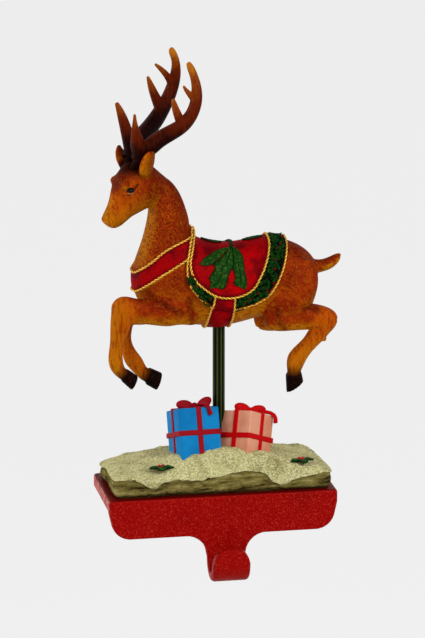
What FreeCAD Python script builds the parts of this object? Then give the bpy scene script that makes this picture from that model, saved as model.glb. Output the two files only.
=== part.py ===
import FreeCAD, Part
import math
import os

import Sketcher
from FreeCAD import Placement, Rotation, Vector

# Mantel stocking holder, in millimetres. z = 0 is the top of the mantel, x runs along the
# mantel, -y points into the room, where the hook is, and the reindeer faces -x.

os.makedirs("parts", exist_ok=True)
doc = FreeCAD.newDocument("stocking_holder")

# Driving sizes
SIZES = {
    # iron bracket
    "plate_wide": 131.5,
    "plate_deep": 58.0,
    "plate_thick": 7.0,
    "plate_corner": 3.0,
    "edge_round": 1.2,
    "apron_drop": 23.0,
    "apron_taper": 3.5,
    "apron_corner": 11.0,
    "strip_thick": 5.5,
    "tongue_wide": 26.0,
    "tongue_sweep": 12.0,
    "tongue_long": 13.2,
    "hook_shift": 1.5,
    "bend_radius": 9.0,
    "bend_wide": 21.6,
    "tip_wide": 16.4,
    "tip_rise": 9.4,
    "tip_corner": 7.8,
    "hook_round": 2.2,
    # pads under and behind the bracket
    "pad_thick": 1.0,
    "pad_long": 110.0,
    "pad_inset": 5.0,
    "apron_pad_long": 90.0,
    "apron_pad_high": 12.0,
    # screws up into the snow base
    "screw_inset": 20.5,
    "screw_thick": 4.0,
    "screw_head": 8.0,
    "screw_head_high": 2.4,
    "screw_bite": 5.0,
    "screw_play": 0.3,
    # snow base
    "base_wide": 125.0,
    "base_deep": 51.0,
    "base_shift": 0.6,
    "base_edge_high": 12.0,
    "base_back_rise": 1.5,
    "mound_high": 7.0,
    "rock_undercut": 1.2,
    "rock_foot_high": 2.2,
    "snow_lip": 0.8,
    # presents
    "blue_wide": 24.0,
    "blue_deep": 24.0,
    "blue_high": 33.0,
    "pink_wide": 22.5,
    "pink_deep": 20.5,
    "pink_high": 33.0,
    "ribbon_wide": 3.0,
    "ribbon_proud": 0.6,
    "bow_loop_long": 9.0,
    "bow_loop_high": 5.0,
    "bow_ribbon_thick": 1.1,
    "bow_fill": 0.6,
    # pole
    "pole_x": 3.2,
    "pole_y": 4.0,
    "pole_thick": 7.0,
    "pole_foot": 14.0,
    "pole_bare_top": 97.9,
    "pole_bite": 14.0,
    "pole_play": 0.15,
    # reindeer
    "trunk_half_wide": 18.6,
    "head_turn": 18.0,
    "blanket_proud": 1.1,
    "rope_proud": 2.0,
    "rope_wide": 2.0,
    "eye_thick": 4.4,
    "brow_thick": 6.4,
    "spur_thick": 3.2,
    # antlers
    "antler_thick": 9.6,
    "burr_thick": 10.0,
    "burr_high": 2.0,
    "peg_thick": 4.0,
    "peg_long": 6.0,
    "peg_play": 0.15,
}

sheet = doc.addObject("Spreadsheet::Sheet", "Sizes")
for row, (alias, number) in enumerate(SIZES.items(), start=1):
    sheet.set(f"A{row}", alias)
    sheet.set(f"B{row}", str(number))
    sheet.setAlias(f"B{row}", alias)
doc.recompute()


def size(alias):
    """One driving size, read back from the sheet."""
    return float(sheet.get(alias))


# Helpers for sketched bodies
def start_body(label):
    body = doc.addObject("PartDesign::Body", label)
    body.Label = label
    return body


def sketch_on(body, role, name, offset="0"):
    """A sketch on one of the body's own origin planes, moved along the plane's normal."""
    sketch = body.newObject("Sketcher::SketchObject", name)
    plane = next(item for item in body.Origin.OriginFeatures if item.Role == role)
    sketch.AttachmentSupport = [(plane, "")]
    sketch.MapMode = "FlatFace"
    sketch.setExpression("AttachmentOffset.Base.z", offset)
    return sketch


def polygon(sketch, corners):
    """A closed outline whose corners are held by two bound distances each."""
    places = [[float(sketch.evalExpression(text)) for text in corner] for corner in corners]
    count = len(corners)
    for index, (across, along) in enumerate(places):
        following = places[(index + 1) % count]
        line = Part.LineSegment(Vector(across, along, 0), Vector(following[0], following[1], 0))
        sketch.addGeometry(line, False)
    for index in range(count):
        joint = Sketcher.Constraint("Coincident", index, 2, (index + 1) % count, 1)
        sketch.addConstraint(joint)
    for index, corner in enumerate(corners):
        for kind, text, number in zip(("DistanceX", "DistanceY"), corner, places[index]):
            held = sketch.addConstraint(Sketcher.Constraint(kind, -1, 1, index, 1, number))
            sketch.setExpression(f"Constraints[{held}]", text)


def pad(body, name, sketch, length, midplane=False, reversed_side=False):
    feature = body.newObject("PartDesign::Pad", name)
    feature.Profile = sketch
    feature.setExpression("Length", length)
    feature.Midplane = midplane
    feature.Reversed = reversed_side
    doc.recompute()
    return feature


# A length that counts as none, and how far the blocks that trim a solid reach past it
FLAT = 0.01
BLOCK_REACH = 60.0


def edges_where(feature, test):
    return [f"Edge{index}" for index, edge in enumerate(feature.Shape.Edges, start=1) if test(edge)]


def round_edges(body, name, base, test, radius):
    feature = body.newObject("PartDesign::Fillet", name)
    feature.Base = (base, edges_where(base, test))
    feature.setExpression("Radius", radius)
    doc.recompute()
    return feature


def runs_along(edge, axis):
    """True for a straight edge that lies along the given unit vector."""
    if not isinstance(edge.Curve, Part.Line):
        return False
    return abs(abs(edge.Curve.Direction.dot(axis)) - 1) < 1e-6


def near(first, second, slack=0.05):
    return abs(first - second) < slack


# Iron bracket: plate on the mantel, apron over its edge, and the hook
def make_bracket():
    body = start_body("mantel_bracket")
    half_wide = "Sizes.plate_wide / 2"
    half_deep = "Sizes.plate_deep / 2"
    plate_top = "(Sizes.pad_thick + Sizes.plate_thick)"
    plate = sketch_on(body, "XY_Plane", "plate_outline", "Sizes.pad_thick")
    polygon(plate, [
        (f"-{half_wide}", f"-{half_deep}"),
        (half_wide, f"-{half_deep}"),
        (half_wide, half_deep),
        (f"-{half_wide}", half_deep),
    ])
    plate_pad = pad(body, "plate", plate, "Sizes.plate_thick")
    back = size("plate_deep") / 2
    upright = Vector(0, 0, 1)
    round_edges(body, "plate_corners", plate_pad,
                lambda edge: runs_along(edge, upright) and near(edge.Vertexes[0].Y, back),
                "Sizes.plate_corner")

    low = f"({plate_top} - Sizes.apron_drop)"
    bend_level = f"({low} - Sizes.tongue_long)"
    foot = f"{half_wide} - Sizes.apron_taper"
    tongue = "Sizes.tongue_wide / 2"
    bend_half = "Sizes.bend_wide / 2"
    shift = "Sizes.hook_shift"
    apron = sketch_on(body, "XZ_Plane", "apron_outline", f"{half_deep} - Sizes.strip_thick")
    polygon(apron, [
        (f"-{half_wide}", plate_top),
        (half_wide, plate_top),
        (half_wide, "Sizes.pad_thick"),
        (foot, low),
        (f"{shift} + {tongue}", low),
        (f"{shift} + {bend_half}", bend_level),
        (f"{shift} - {bend_half}", bend_level),
        (f"{shift} - {tongue}", low),
        (f"-({foot})", low),
        (f"-{half_wide}", "Sizes.pad_thick"),
    ])
    apron_pad = pad(body, "apron", apron, "Sizes.strip_thick")
    apron_low = float(apron.evalExpression(low))
    foot_x = float(apron.evalExpression(foot))
    forward = Vector(0, 1, 0)

    def apron_corner(edge):
        spot = edge.Vertexes[0].Point
        return runs_along(edge, forward) and near(abs(spot.x), foot_x) and near(spot.z, apron_low)

    def tongue_corner(edge):
        spot = edge.Vertexes[0].Point
        at_side = near(abs(spot.x - size("hook_shift")), size("tongue_wide") / 2)
        return runs_along(edge, forward) and at_side and near(spot.z, apron_low)

    rounded = round_edges(body, "apron_corners", apron_pad, apron_corner, "Sizes.apron_corner")
    round_edges(body, "tongue_sweeps", rounded, tongue_corner,
                "min(Sizes.tongue_sweep; Sizes.tongue_long - 0.2)")

    bend = sketch_on(body, "XY_Plane", "bend_section", bend_level)
    front = f"-{half_deep}"
    polygon(bend, [
        (f"{shift} - {bend_half}", front),
        (f"{shift} + {bend_half}", front),
        (f"{shift} + {bend_half}", f"{front} + Sizes.strip_thick"),
        (f"{shift} - {bend_half}", f"{front} + Sizes.strip_thick"),
    ])
    centre = f"({front} + Sizes.strip_thick / 2 - Sizes.bend_radius)"
    centre_y = float(bend.evalExpression(centre))
    axis_line = Part.LineSegment(Vector(-10, centre_y, 0), Vector(10, centre_y, 0))
    axis = bend.addGeometry(axis_line, True)
    bend.addConstraint(Sketcher.Constraint("Horizontal", axis))
    held = bend.addConstraint(Sketcher.Constraint("DistanceY", -1, 1, axis, 1, centre_y))
    bend.setExpression(f"Constraints[{held}]", centre)
    doc.recompute()
    turn = body.newObject("PartDesign::Revolution", "bend")
    turn.Profile = bend
    turn.ReferenceAxis = (bend, ["Axis0"])
    turn.Angle = 180
    turn.Reversed = True
    doc.recompute()

    tip = sketch_on(body, "XZ_Plane", "tip_outline",
                    f"-({centre} - Sizes.bend_radius + Sizes.strip_thick / 2)")
    tip_half = "Sizes.tip_wide / 2"
    tip_top = f"({bend_level} + Sizes.tip_rise)"
    polygon(tip, [
        (f"{shift} - {bend_half}", bend_level),
        (f"{shift} + {bend_half}", bend_level),
        (f"{shift} + {tip_half}", tip_top),
        (f"{shift} - {tip_half}", tip_top),
    ])
    tip_pad = pad(body, "tip", tip, "Sizes.strip_thick")
    tip_level = float(tip.evalExpression(tip_top))

    def tip_corner(edge):
        spot = edge.Vertexes[0].Point
        return runs_along(edge, forward) and near(spot.z, tip_level)

    rounded = round_edges(body, "tip_corners", tip_pad, tip_corner, "Sizes.tip_corner")

    hook_front = centre_y - size("bend_radius") - size("strip_thick") / 2
    hook_back = -size("plate_deep") / 2 + size("strip_thick")

    def hook_edge(edge):
        box = edge.BoundBox
        return near(box.YMin, hook_front) and near(box.YMax, hook_back) and box.XLength < FLAT

    rounded = round_edges(body, "hook_edges", rounded, hook_edge, "Sizes.hook_round")

    def outer_edge(edge):
        spot = edge.BoundBox
        flat = spot.ZLength < FLAT and near(spot.ZMax, top_level)
        return flat and (runs_along(edge, forward) or runs_along(edge, Vector(1, 0, 0)))

    top_level = float(tip.evalExpression(plate_top))
    round_edges(body, "plate_edges", rounded, outer_edge, "Sizes.edge_round")

    for side in (-1, 1):
        word = "left" if side < 0 else "right"
        hole = body.newObject("PartDesign::SubtractiveCylinder", f"{word}_screw_hole")
        hole.setExpression("Radius", "Sizes.screw_thick / 2 + Sizes.screw_play")
        hole.setExpression("Height", "Sizes.plate_thick")
        hole.setExpression("Placement.Base.x", f"{side} * (Sizes.base_wide / 2 - Sizes.screw_inset)")
        hole.setExpression("Placement.Base.z", "Sizes.pad_thick")
        sink = body.newObject("PartDesign::SubtractiveCone", f"{word}_countersink")
        sink.setExpression("Radius1", "Sizes.screw_head / 2 + Sizes.screw_play")
        sink.setExpression("Radius2", "Sizes.screw_thick / 2 + Sizes.screw_play")
        sink.setExpression("Height", "Sizes.screw_head_high")
        sink.setExpression("Placement.Base.x", f"{side} * (Sizes.base_wide / 2 - Sizes.screw_inset)")
        sink.setExpression("Placement.Base.z", "Sizes.pad_thick")
        doc.recompute()
    return body


# Plain blocks and cylinders bound to the sheet
def block(name, length, width, height, corner):
    item = doc.addObject("Part::Box", name)
    for field, text in zip(("Length", "Width", "Height"), (length, width, height)):
        item.setExpression(field, text)
    for field, text in zip("xyz", corner):
        item.setExpression(f"Placement.Base.{field}", text)
    return item


def make_pads():
    plate_pad = block("mantel_pad", "Sizes.pad_long",
                      "Sizes.plate_deep - Sizes.strip_thick - 2 * Sizes.pad_inset", "Sizes.pad_thick",
                      ("-Sizes.pad_long / 2",
                       "-Sizes.plate_deep / 2 + Sizes.pad_inset + Sizes.strip_thick", "0"))
    plate_pad.Label = "mantel_pad"
    apron_pad = block("apron_pad", "Sizes.apron_pad_long", "Sizes.pad_thick", "Sizes.apron_pad_high",
                      ("-Sizes.apron_pad_long / 2",
                       "-Sizes.plate_deep / 2 + Sizes.strip_thick",
                       "Sizes.pad_thick - Sizes.apron_pad_high - 2"))
    apron_pad.Label = "apron_pad"
    return [plate_pad, apron_pad]


def make_screws():
    screws = []
    for side in (-1, 1):
        word = "left" if side < 0 else "right"
        shank = doc.addObject("Part::Cylinder", f"{word}_shank")
        shank.setExpression("Radius", "Sizes.screw_thick / 2")
        shank.setExpression("Height", "Sizes.plate_thick + Sizes.screw_bite")
        head = doc.addObject("Part::Cone", f"{word}_head")
        head.setExpression("Radius1", "Sizes.screw_head / 2")
        head.setExpression("Radius2", "Sizes.screw_thick / 2")
        head.setExpression("Height", "Sizes.screw_head_high")
        for item in (shank, head):
            item.setExpression("Placement.Base.x", f"{side} * (Sizes.base_wide / 2 - Sizes.screw_inset)")
            item.setExpression("Placement.Base.z", "Sizes.pad_thick")
        screw = doc.addObject("Part::Fuse", f"{word}_screw")
        screw.Base = shank
        screw.Tool = head
        screws.append(screw)
    group = doc.addObject("Part::Compound", "base_screws")
    group.Links = screws
    group.Label = "base_screws"
    return group


def make_pole():
    pole = doc.addObject("Part::Cylinder", "pole")
    pole.Label = "pole"
    pole.setExpression("Radius", "Sizes.pole_thick / 2")
    pole.setExpression("Height", "Sizes.pole_bare_top + Sizes.pole_bite - Sizes.pole_foot")
    pole.setExpression("Placement.Base.x", "Sizes.pole_x")
    pole.setExpression("Placement.Base.y", "Sizes.pole_y")
    pole.setExpression("Placement.Base.z", "Sizes.pole_foot")
    return pole


def feature(label, shape, placement=None):
    item = doc.addObject("Part::Feature", label)
    item.Label = label
    item.Shape = shape
    if placement is not None:
        item.Placement = placement * shape.Placement
    return item


# Free forms
def smooth_loop(points):
    curve = Part.BSplineCurve()
    curve.interpolate(Points=points, PeriodicFlag=True)
    return Part.Wire(curve.toShape())


def ring(upper, lower, half_wide, side=0.0, count=8):
    """A closed section through two opposite points of a limb, given as x, z at y = side."""
    top = Vector(upper[0], side, upper[1])
    bottom = Vector(lower[0], side, lower[1])
    centre = (top + bottom) / 2
    reach = (top - bottom) / 2
    across = Vector(0, half_wide, 0)
    angles = [2 * math.pi * index / count for index in range(count)]
    return smooth_loop([centre + reach * math.cos(a) + across * math.sin(a) for a in angles])


def limb(stations, side=0.0, grow=0.0, count=8):
    """A solid carried through sections, each an upper point, a lower point and a half width."""
    rings = []
    for upper, lower, half_wide in stations:
        spread = Vector(upper[0] - lower[0], 0, upper[1] - lower[1])
        spread.normalize()
        high = (upper[0] + spread.x * grow, upper[1] + spread.z * grow)
        deep = (lower[0] - spread.x * grow, lower[1] - spread.z * grow)
        rings.append(ring(high, deep, half_wide + grow, side, count))
    return Part.makeLoft(rings, True, False)


def horn(stations, count=6):
    """A round tapering branch through x, y, z centres with a thickness at each."""
    centres = [Vector(*station[:3]) for station in stations]
    rings = []
    for index, station in enumerate(stations):
        ahead = centres[min(index + 1, len(centres) - 1)]
        behind = centres[max(index - 1, 0)]
        along = (ahead - behind).normalize()
        side = along.cross(Vector(0, 1, 0)).normalize()
        other = along.cross(side)
        reach = station[3] / 2
        angles = [2 * math.pi * step / count for step in range(count)]
        loop = [centres[index] + (side * math.cos(a) + other * math.sin(a)) * reach for a in angles]
        rings.append(smooth_loop(loop))
    return Part.makeLoft(rings, True, False)


def slice_of(outline, low=-40.0, high=40.0):
    """A wide block whose x, z outline is a smooth closed curve, for cutting relief to shape."""
    wire = smooth_loop([Vector(across, low, up) for across, up in outline])
    return Part.Face(wire).extrude(Vector(0, high - low, 0))


def plank(outline, low=-40.0, high=40.0):
    """A wide block whose x, z outline is straight between its corners."""
    corners = [Vector(across, low, up) for across, up in outline]
    return Part.Face(Part.makePolygon(corners + corners[:1])).extrude(Vector(0, high - low, 0))


def pulled_in(outline, distance):
    """The same outline with every point moved towards the middle by one distance."""
    middle_x = sum(point[0] for point in outline) / len(outline)
    middle_z = sum(point[1] for point in outline) / len(outline)
    moved = []
    for across, up in outline:
        reach = math.hypot(across - middle_x, up - middle_z)
        share = (reach - distance) / reach
        moved.append((middle_x + (across - middle_x) * share, middle_z + (up - middle_z) * share))
    return moved


def joined(shapes):
    whole = shapes[0].fuse(shapes[1:])
    return whole.removeSplitter() if len(whole.Solids) != 1 else whole


# Reindeer: stations are x, z points on its outline, with its middle plane at y = 0 and the
# pole's axis at x = POLE_STATION, where the pole meets the belly at z = BELLY_LEVEL
POLE_STATION = 2.45
BELLY_LEVEL = 98.9
HEAD_PIVOT = Vector(-30, 0, 180)

WIDE = size("trunk_half_wide")
TRUNK = [
    ((59.0, 131.0), (58.8, 124.0), WIDE * 0.2),
    ((57.0, 137.0), (57.2, 118.5), WIDE * 0.52),
    ((51.5, 143.0), (53.5, 112.5), WIDE * 0.76),
    ((42.0, 148.0), (44.5, 107.5), WIDE * 0.91),
    ((28.0, 150.0), (29.0, 105.3), WIDE * 0.97),
    ((12.0, 147.6), (13.0, 101.8), WIDE),
    ((-2.0, 148.4), (-1.0, 100.6), WIDE),
    ((-10.5, 151.5), (-13.5, 101.8), WIDE * 0.99),
    ((-12.8, 154.0), (-30.0, 104.6), WIDE * 0.96),
    ((-14.0, 157.0), (-43.0, 115.5), WIDE * 0.86),
    ((-14.8, 161.0), (-47.2, 131.0), WIDE * 0.73),
    ((-15.8, 166.5), (-43.8, 145.0), WIDE * 0.63),
    ((-18.2, 174.0), (-39.8, 158.0), WIDE * 0.55),
    ((-22.6, 182.4), (-38.0, 167.5), WIDE * 0.48),
    ((-29.8, 188.0), (-40.5, 174.0), WIDE * 0.36),
]
HEAD = [
    ((-26.0, 185.2), (-32.5, 175.0), 4.6),
    ((-30.5, 189.8), (-34.5, 172.8), 6.9),
    ((-35.0, 193.8), (-37.0, 171.6), 8.0),
    ((-40.0, 197.4), (-40.5, 171.0), 9.0),
    ((-47.0, 199.0), (-45.0, 169.4), 9.4),
    ((-54.3, 197.3), (-49.0, 167.8), 8.9),
    ((-59.3, 190.0), (-52.5, 165.8), 7.7),
    ((-61.2, 184.0), (-55.5, 163.6), 6.3),
    ((-63.0, 177.5), (-58.5, 162.2), 5.3),
    ((-65.6, 172.0), (-61.5, 162.0), 4.8),
    ((-67.4, 168.6), (-64.2, 163.2), 3.8),
    ((-67.6, 167.4), (-66.0, 164.9), 2.2),
]
TAIL = [
    ((54.0, 138.5), (55.0, 127.0), 4.2),
    ((59.6, 135.9), (59.4, 128.1), 3.8),
    ((65.7, 136.9), (64.2, 129.2), 3.6),
    ((70.5, 138.9), (69.2, 131.6), 3.0),
    ((73.1, 138.7), (72.3, 135.2), 1.3),
]
THIGH = [
    ((43.5, 142.0), (54.0, 138.5), 2.6),
    ((38.5, 135.5), (57.5, 129.5), 6.0),
    ((29.5, 121.0), (55.5, 116.0), 9.0),
    ((25.6, 109.0), (50.0, 105.0), 8.0),
    ((27.0, 101.4), (44.0, 100.0), 5.5),
]
GASKIN = [
    ((27.0, 107.0), (27.5, 100.6), 3.6),
    ((33.0, 112.0), (33.5, 98.6), 6.2),
    ((42.0, 114.0), (42.0, 98.4), 6.4),
    ((50.0, 113.2), (50.0, 98.5), 6.0),
    ((57.5, 111.9), (56.5, 97.9), 5.3),
    ((64.5, 109.3), (60.5, 97.2), 4.7),
    ((68.7, 105.5), (65.5, 99.2), 3.2),
]
HIND_CANNON = [
    ((68.6, 103.0), (57.0, 104.5), 4.5),
    ((65.2, 97.4), (53.4, 98.4), 4.4),
    ((60.4, 92.2), (49.8, 93.2), 4.0),
    ((54.7, 86.5), (45.0, 88.3), 3.6),
    ((51.1, 81.8), (40.8, 83.6), 3.8),
    ((48.5, 76.6), (39.5, 78.0), 3.9),
    ((46.8, 72.2), (40.0, 72.0), 3.3),
    ((47.0, 69.6), (40.3, 68.4), 3.2),
]
HIND_HOOF = [
    ((47.9, 73.2), (38.9, 71.6), 3.9),
    ((49.0, 68.3), (39.4, 61.9), 4.6),
]
NEAR_FOREARM = [
    ((-11.0, 122.0), (-12.0, 110.0), 2.6),
    ((-19.5, 125.5), (-19.5, 104.6), 5.0),
    ((-29.0, 123.0), (-28.0, 104.3), 6.4),
    ((-38.0, 120.8), (-36.0, 105.1), 6.0),
    ((-46.0, 121.0), (-44.5, 106.2), 5.4),
    ((-54.0, 122.8), (-52.0, 106.0), 5.0),
    ((-58.4, 121.4), (-57.0, 107.4), 4.4),
    ((-60.9, 118.0), (-60.2, 110.5), 3.0),
]
NEAR_CANNON = [
    ((-60.4, 119.0), (-51.5, 119.6), 3.6),
    ((-61.2, 115.0), (-50.5, 115.0), 4.8),
    ((-61.7, 108.0), (-50.3, 106.5), 4.7),
    ((-61.9, 101.0), (-52.6, 99.5), 4.2),
    ((-62.2, 94.6), (-54.8, 93.6), 3.6),
    ((-63.0, 87.2), (-54.9, 87.6), 3.9),
    ((-62.0, 81.2), (-54.6, 84.2), 3.9),
    ((-59.2, 77.2), (-53.9, 81.8), 3.3),
    ((-56.2, 74.6), (-52.6, 79.9), 3.1),
    ((-53.5, 73.2), (-50.5, 78.6), 3.0),
]
NEAR_FORE_HOOF = [
    ((-55.7, 73.5), (-52.2, 80.4), 3.6),
    ((-50.1, 68.0), (-46.2, 76.0), 4.5),
]
FAR_FOREARM = [
    ((-10.0, 121.0), (-11.0, 109.0), 2.6),
    ((-18.0, 121.5), (-18.0, 103.0), 5.0),
    ((-26.0, 118.0), (-25.0, 102.5), 6.6),
    ((-35.5, 114.8), (-34.0, 100.2), 5.8),
    ((-43.5, 113.8), (-42.0, 99.4), 5.1),
    ((-50.0, 111.6), (-49.0, 100.5), 4.2),
]
FAR_CANNON = [
    ((-52.4, 107.5), (-43.2, 107.0), 4.6),
    ((-52.8, 101.5), (-44.8, 100.2), 4.3),
    ((-52.5, 96.5), (-45.8, 95.2), 3.8),
    ((-51.9, 90.0), (-45.6, 89.5), 3.4),
    ((-51.3, 84.5), (-43.4, 84.6), 3.8),
    ((-48.9, 76.5), (-39.7, 79.2), 4.0),
    ((-44.4, 71.0), (-38.0, 75.6), 3.3),
    ((-39.8, 66.6), (-36.3, 73.4), 3.2),
    ((-36.2, 65.6), (-33.4, 72.2), 3.0),
]
FAR_FORE_HOOF = [
    ((-37.9, 64.2), (-35.3, 73.8), 3.7),
    ((-31.6, 60.3), (-28.1, 70.2), 4.5),
]
FAR_GASKIN = [
    ((26.0, 102.0), (28.0, 93.6), 3.8),
    ((33.0, 106.4), (34.0, 92.0), 6.2),
    ((42.5, 108.4), (43.0, 92.0), 6.4),
    ((52.5, 107.8), (53.0, 92.2), 6.0),
    ((61.5, 106.4), (61.0, 92.0), 5.3),
    ((69.5, 103.6), (65.8, 91.4), 4.7),
    ((73.6, 99.6), (70.6, 93.2), 3.2),
]
SPUR = Vector(60.9, 0, 92.6)
FORE_SIDE = 12.0
HIND_SIDE = 12.5
THIGH_SIDE = 10.5
FAR_HIND_SHIFT = Vector(5.0, 0, -6.0)
FAR_THIGH_SHIFT = Vector(-1.0, 0, -6.0)

BLANKET = [
    (-12.3, 158.0), (-15.0, 149.0), (-17.0, 141.2), (-15.9, 134.6), (-11.6, 129.0), (-3.1, 122.8),
    (4.3, 121.2), (12.0, 122.2), (18.6, 126.0), (23.0, 133.0), (26.4, 140.0), (29.2, 148.0),
    (31.0, 158.0), (10.0, 162.0),
]
BORDER = [
    (-13.5, 158.0), (-16.5, 149.0), (-18.4, 139.5), (-17.4, 130.0), (-10.6, 120.6), (-4.2, 115.4),
    (6.6, 113.4), (16.9, 115.6), (26.6, 120.4), (32.8, 129.4), (37.0, 139.4), (40.2, 150.0),
    (42.0, 159.0), (10.0, 164.0),
]
GIRTH = [(-3.6, 121.0), (-6.6, 104.6), (-6.6, 94.0), (6.8, 94.0), (7.6, 107.0), (8.8, 121.0)]
BREAST_STRAP = [
    (-14.0, 155.5), (-28.7, 150.0), (-39.1, 141.7), (-48.0, 134.0), (-56.0, 130.0),
    (-56.0, 119.0), (-46.0, 122.8), (-41.5, 127.5), (-32.0, 134.7), (-18.5, 142.7), (-14.0, 145.5),
]


def turned_with_head(shape):
    shape.rotate(HEAD_PIVOT, Vector(0, 0, 1), size("head_turn"))
    return shape


def ear(centres):
    """A leaf of flat sections from its root to its tip: x, y, z, half width, half thickness."""
    rings = []
    for across, side, up, wide, thick in centres:
        centre = Vector(across, side, up)
        out = Vector(wide, wide * 0.35, 0)
        through = Vector(-thick * 0.35, thick, 0)
        angles = [2 * math.pi * step / 8 for step in range(8)]
        rings.append(smooth_loop([centre + out * math.cos(a) + through * math.sin(a) for a in angles]))
    return Part.makeLoft(rings, True, False)


NEAR_EAR = [
    (-43.6, -6.5, 191.0, 3.2, 2.3),
    (-45.0, -9.3, 195.5, 4.7, 2.4),
    (-45.4, -11.7, 200.2, 5.0, 2.1),
    (-45.2, -13.6, 204.4, 4.1, 1.7),
    (-44.8, -14.8, 207.0, 2.2, 1.1),
]
FAR_EAR = [
    (-47.0, 6.5, 190.0, 2.6, 2.2),
    (-49.0, 9.5, 195.5, 3.9, 2.3),
    (-49.6, 12.0, 199.5, 3.7, 2.0),
    (-49.6, 14.0, 202.8, 2.5, 1.5),
    (-49.2, 15.2, 205.4, 0.8, 0.7),
]
EYE = Vector(-53.8, 7.2, 184.4)
BROW = Vector(-56.6, 5.4, 188.0)

# Antlers in the unturned head frame: x, y, z and thickness as a share of the beam's root.
# The near one and the far one were shaped by hand and differ.
NEAR_ANTLER = {
    "beam": [
        (-47.0, -5.2, 201.0, 1.0), (-42.6, -7.2, 207.0, 1.02), (-37.6, -11.0, 212.2, 0.98),
        (-31.2, -15.0, 216.8, 0.92), (-25.2, -17.8, 221.4, 0.84), (-20.7, -19.2, 227.8, 0.74),
        (-18.2, -19.0, 235.3, 0.68), (-17.7, -17.5, 242.9, 0.55), (-18.8, -15.5, 249.5, 0.46),
        (-20.4, -13.5, 255.0, 0.2),
    ],
    "top tine": [
        (-18.6, -19.0, 233.6, 0.56), (-21.1, -18.0, 236.9, 0.38), (-23.4, -17.0, 239.8, 0.26),
        (-24.9, -16.0, 242.6, 0.12),
    ],
    "middle tine": [
        (-26.0, -17.5, 220.4, 0.7), (-29.4, -18.0, 226.6, 0.5), (-31.3, -18.0, 231.8, 0.38),
        (-32.2, -17.5, 236.2, 0.18),
    ],
    "brow tine": [
        (-46.6, -6.2, 204.6, 1.0), (-49.4, -7.4, 211.6, 0.82), (-51.2, -8.6, 219.0, 0.46),
        (-52.2, -9.8, 228.0, 0.16),
    ],
}
FAR_ANTLER = {
    "beam": [
        (-47.0, 5.2, 201.0, 1.0), (-42.6, 7.2, 207.0, 1.04), (-34.0, 11.0, 212.4, 1.02),
        (-26.0, 15.0, 217.4, 0.98), (-19.2, 18.0, 223.8, 0.88), (-14.4, 19.5, 230.5, 0.78),
        (-12.0, 19.0, 237.8, 0.7), (-11.6, 17.5, 245.0, 0.56), (-13.6, 15.5, 251.9, 0.46),
        (-16.6, 13.5, 257.8, 0.2),
    ],
    "top tine": [
        (-12.8, 19.0, 235.0, 0.62), (-16.6, 18.0, 240.6, 0.42), (-21.3, 17.0, 245.5, 0.3),
        (-25.7, 16.0, 249.1, 0.14),
    ],
    "middle tine": [
        (-20.6, 17.5, 222.2, 0.8), (-24.7, 18.0, 230.2, 0.56), (-27.2, 18.0, 236.2, 0.4),
        (-29.6, 17.5, 242.1, 0.16),
    ],
    "brow tine": [
        (-45.8, 6.4, 204.4, 0.92), (-48.3, 8.0, 215.1, 0.7), (-50.9, 9.0, 224.3, 0.5),
        (-53.3, 10.0, 230.9, 0.22),
    ],
}


def antler_seat(side):
    """Where an antler's burr stands on the crown, and the way it points."""
    beam = (NEAR_ANTLER if side < 0 else FAR_ANTLER)["beam"]
    root = Vector(*beam[0][:3])
    ahead = Vector(*beam[1][:3])
    along = (ahead - root).normalize()
    return root - along * size("burr_high"), along


def antler(side):
    root, along = antler_seat(side)
    thick = size("antler_thick")

    branches = NEAR_ANTLER if side < 0 else FAR_ANTLER
    burr_reach = size("burr_thick") / 2
    burr = Part.makeCone(burr_reach * 0.9, burr_reach, size("burr_high") * 0.6, root, along)
    crown = Part.makeCone(burr_reach, thick * 0.48, size("burr_high") * 1.2,
                          root + along * size("burr_high") * 0.6, along)
    peg = Part.makeCylinder(size("peg_thick") / 2, size("peg_long") + size("burr_high"),
                            root - along * size("peg_long"), along)
    horns = [horn([(x, y, z, share * thick) for x, y, z, share in branch]) for branch in branches.values()]
    whole = joined(horns + [burr, crown, peg])
    seat_plane = Part.makeCylinder(BLOCK_REACH / 2, BLOCK_REACH / 2, root - along * BLOCK_REACH / 2, along)
    keep_peg = Part.makeCylinder(size("peg_thick") / 2 + FLAT, BLOCK_REACH / 2 + 1,
                                 root - along * BLOCK_REACH / 2, along)
    return whole.cut(seat_plane.cut(keep_peg))


def antler_socket(side):
    """What the head gives up for one antler: a flat seat for its burr and a hole for its peg."""
    root, along = antler_seat(side)
    play = size("peg_play")
    seat = Part.makeCylinder(size("burr_thick") / 2 + play, BLOCK_REACH / 3, root, along)
    hole = Part.makeCylinder(size("peg_thick") / 2 + play, size("peg_long") + play,
                             root - along * (size("peg_long") + play), along)
    return seat.fuse(hole)


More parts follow.
